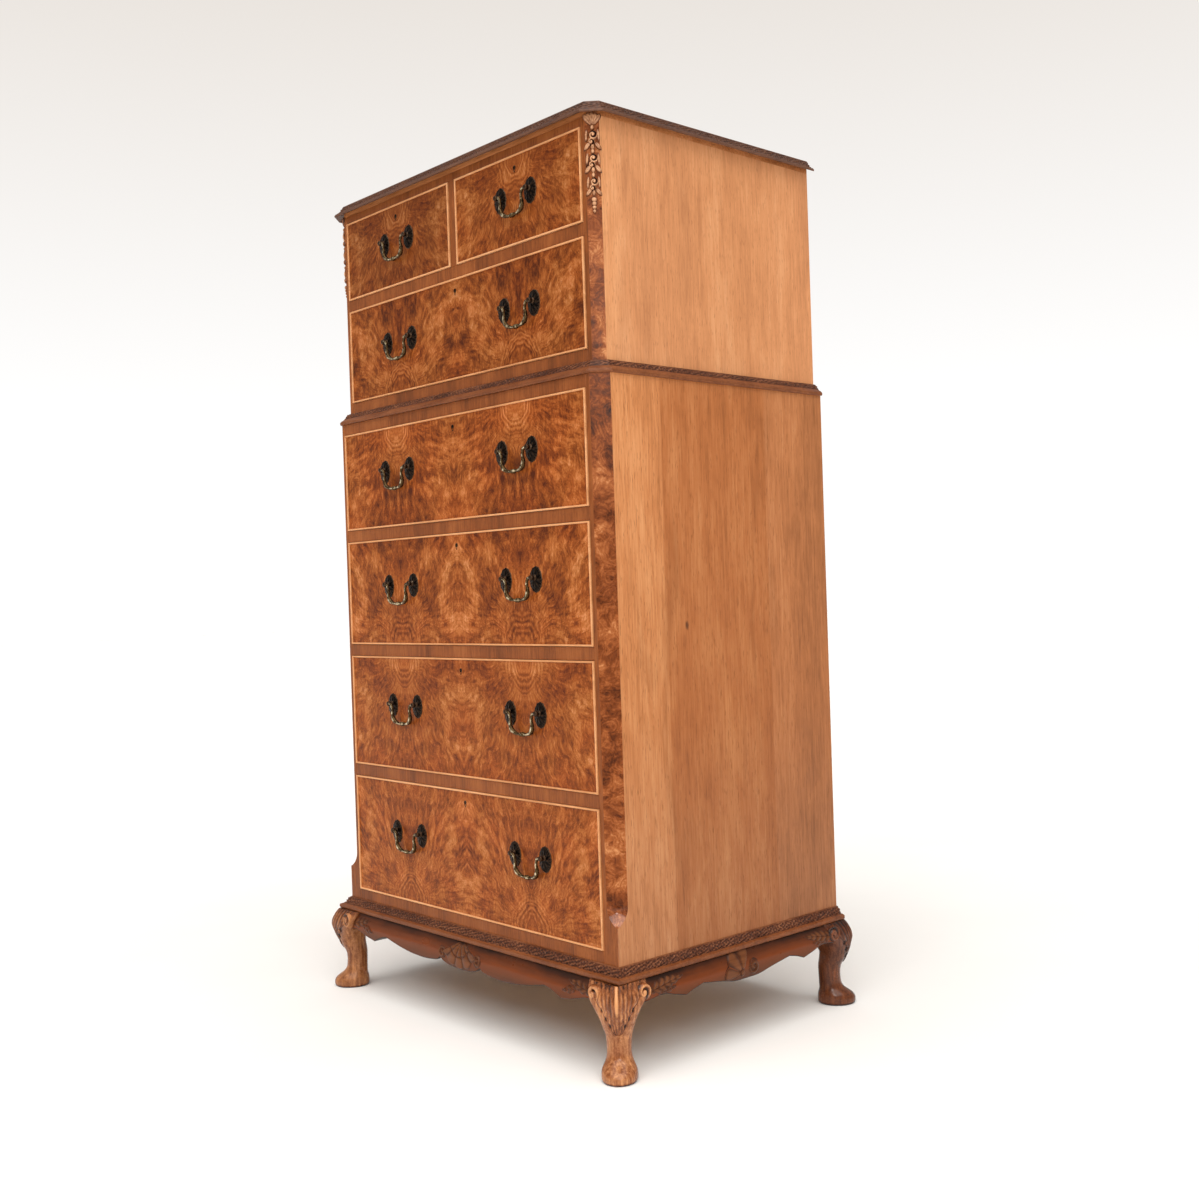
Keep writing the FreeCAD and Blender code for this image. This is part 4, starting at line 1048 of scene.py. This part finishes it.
BURR_STOPS = shades(
    (0.26, 80, 34, 11), (0.42, 122, 59, 20), (0.53, 150, 78, 29), (0.66, 180, 105, 51), (0.88, 214, 144, 94)
)
UPPER_DRAWERS = ("drawer_top_left", "drawer_top_right", "drawer_second")
BURR_SHARES = {"drawer_top_left": 0.72, "drawer_top_right": 0.88, "drawer_second": 0.9}
CANT_STOPS = shades(
    (0.2, 40, 16, 6), (0.38, 86, 40, 14), (0.54, 124, 62, 26), (0.7, 160, 90, 46), (0.88, 204, 138, 88)
)
FRAME_STOPS = shades((0.1, 88, 44, 18), (0.5, 140, 76, 34), (0.9, 172, 102, 52))
SIDE_STOPS = shades((0.12, 144, 86, 46), (0.5, 194, 122, 72), (0.88, 220, 154, 102))
UPPER_STOPS = shades((0.12, 160, 102, 64), (0.5, 206, 140, 92), (0.88, 230, 172, 124))
LINING_STOPS = shades((0.15, 142, 100, 62), (0.5, 184, 140, 94), (0.85, 208, 168, 122))
BACK_STOPS = shades((0.15, 112, 74, 42), (0.5, 152, 108, 68), (0.85, 180, 136, 92))
BEAD_STOPS = shades((0.1, 176, 112, 66), (0.5, 224, 160, 108), (0.9, 242, 190, 142))
TIMBER_STOPS = shades((0.3, 112, 74, 44), (0.7, 156, 112, 72))
SEAM_COLOUR = rgb(34, 22, 13)
KNOT_COLOUR = rgb(60, 30, 16)
# The side of the lower case is laid in three leaves with sharp joints; the share runs from front to back.
SIDE_TINTS = (
    (0, (1.1, 1.18, 1.24)), (0.205, (1.04, 1.1, 1.14)), (0.21, (0.82, 0.76, 0.68)), (0.69, (0.8, 0.74, 0.66)),
    (0.7, (0.88, 0.9, 0.94)), (1, (0.9, 0.93, 0.98)),
)
UPPER_TINTS = ((0, (1.12, 1.16, 1.2)), (0.1, (1.04, 1.06, 1.1)), (0.6, (1, 1, 1)), (1, (1.08, 1.1, 1.14)))
BURR_TINTS = ((0, (1.04, 0.95, 0.9)), (1, (0.96, 1, 1.02)))
BOARD_TINTS = ((0, (0.72, 0.7, 0.68)), (1, (1, 1, 1)))
# Painted shade: the lower side is coloured darker and greyer towards the floor.
SIDE_PAINTED_SHADE = (
    (0.05, (0.78, 0.82, 0.94)), (0.42, (0.87, 0.83, 0.78)), (0.75, (0.97, 0.96, 0.95)), (1, (1, 1, 1)),
)

FRAME = grained("frame_veneer", "z", FRAME_STOPS, 1.5, 0.9)
CANT = whorled("cant_burr", CANT_STOPS)
SIDE = grained("side_veneer", "z", SIDE_STOPS, 1, 0.8, tints=(-0.235, 0.272, SIDE_TINTS),
               knot=(0.38, -0.085, 0.685), painted_shade=SIDE_PAINTED_SHADE)
UPPER_SIDE = grained("upper_side_veneer", "z", UPPER_STOPS, 1.1, 0.6, tints=(-0.227, 0.272, UPPER_TINTS))
TOP = grained("top_veneer", "x", SIDE_STOPS)
LINING = grained("drawer_lining", "y", LINING_STOPS, 1, 0.8, gloss=(0.55, 0.7))
BACKING = grained("back_board", "z", BACK_STOPS, 0.9, 0.9, gloss=(0.6, 0.75), board=0.128)
INSIDE = grained("carcase_timber", "y", LINING_STOPS, 1.2, 0.9, gloss=(0.6, 0.75))
BEAD = grained("cock_bead", "x", BEAD_STOPS, 3, 0.7)
# In each carved finish the first colour paints shade in the hollows and the last paints highlights on the
# ridges.
CARVED = carved("carved_walnut", (40, 20, 12), (88, 46, 26), (158, 102, 68))
CORNICE = carved("cornice_walnut", (40, 22, 14), (84, 50, 34), (122, 82, 58))
FASCIA = carved("moulding_bead", (60, 28, 13), (106, 56, 28), (150, 90, 52))
DROP = carved("drop_walnut", (34, 16, 9), (124, 72, 42), (222, 168, 126), "x", 0.26, 0.5, 0.3)
APRON = apron_finish("apron_walnut")
LEG = carved("leg_walnut", (50, 24, 12), (140, 80, 44), (216, 152, 100), "z", 0.26, 0.42, 0.3, 0.44)
MID_LEG = carved("mid_leg_walnut", (46, 22, 12), (116, 64, 34), (194, 132, 84), "z", 0.26, 0.42, 0.3, 0.36)
DARK_LEG = carved("dark_leg_walnut", (34, 16, 9), (76, 37, 18), (134, 74, 40), "z", 0.24, 0.42, 0.35, 0.3)
BRONZE = metal("dark_bronze", (18, 12, 9), (66, 48, 34), (190, 174, 150), 0.3)
BRASS = metal("aged_brass", (24, 16, 10), (82, 63, 38), (232, 214, 178), 0.24, 0.44)


def darker(stops, share):
    """The same colour stops, with every colour a share of what it was."""
    return tuple((place, tuple(part * share for part in colour[:3]) + (1,)) for place, colour in stops)


def dress(node, material):
    """Gives a CAD node that stays visible its material."""
    piece = frame["nodes"][node]
    if not piece.material_slots:
        piece.data.materials.append(material)
    for place in piece.material_slots:
        place.material = material


def stand():
    """The legs, the aprons and the moulding above them."""
    for x_name, x_side in (("left", -1), ("right", 1)):
        leg(f"leg_front_{x_name}", x_side, -1, LEG if x_side > 0 else MID_LEG)
        leg(f"leg_rear_{x_name}", x_side, 1, DARK_LEG)
    front = facing((0, LOWER["face"], 0), (1, 0, 0), (0, -1, 0))
    apron("apron_front", 358, FRONT_EDGE, front_relief, front, [APRON])
    for name, side in (("left", -1), ("right", 1)):
        outside = facing((side * LOWER["half"], MIDDLE_Y, 0), (0, 1, 0), (side, 0, 0))
        apron("apron_" + name, 244, SIDE_EDGE, side_relief, outside, [APRON])
    route = case_route(LOWER, 0)
    finishes = [CARVED, FASCIA]
    moulding("base_moulding_carved", "base_moulding", route, BASE_SECTION, (0.42, 0.94), 1.2, finishes)


def cases():
    """Frames, panels and mouldings of the two cases."""
    front_frame("lower", LOWER, ("sixth", "fifth", "fourth", "third"), [FRAME, CANT, SIDE])
    front_frame("upper", UPPER, ("second", "top_left", "top_right"), [FRAME, CANT, SIDE])
    route = case_route(UPPER, UPPER["cant"])
    for name, node, section, materials in (
        ("waist_moulding_carved", "waist_moulding", WAIST_SECTION, [CARVED, FASCIA]),
        ("cornice_carved", "cornice_moulding", CORNICE_SECTION, [CORNICE, CORNICE]),
    ):
        moulding(name, node, route, section, (0.5, 0.97), 1, materials)
    pendants([DROP])
    for case, side in (("lower", SIDE), ("upper", UPPER_SIDE)):
        dress(case + "_sides", side)
        dress(case + "_carcase", INSIDE)
    dress("top_board", TOP)
    dress("back_panels", BACKING)
    dress("base_frame", INSIDE)


def drawers():
    """Fronts, beads, boxes and metalwork of the seven drawers."""
    pins = {}
    for joint in frame["joints"]:
        if joint["type"] == "hinge":
            pins.setdefault(joint["parent"], []).append((joint["child"], np.array(joint["pos_m"]) / MM))
    for number, (drawer, handles) in enumerate(sorted(pins.items())):
        low, high = corner(drawer + "_cockbead")
        leaf_number = 0 if "top" in drawer else number
        flip = 1 if drawer.split("_")[1] in ("top", "third", "fifth") else -1
        stops = darker(BURR_STOPS, BURR_SHARES.get(drawer, 1))
        face = (UPPER if drawer in UPPER_DRAWERS else LOWER)["face"] * MM
        material = burr_veneer(drawer + "_burr", low[2] * MM, high[2] * MM, face, leaf_number, flip, stops)
        dress(drawer + "_front", material)
        dress(drawer + "_cockbead", BEAD)
        dress(drawer + "_box", LINING)
        fittings(drawer, [pin for child, pin in handles])
        for child, pin in handles:
            bail(child, pin)


stand()
cases()
drawers()
camera()
studio()
bpy.context.scene.view_settings.view_transform = "Standard"
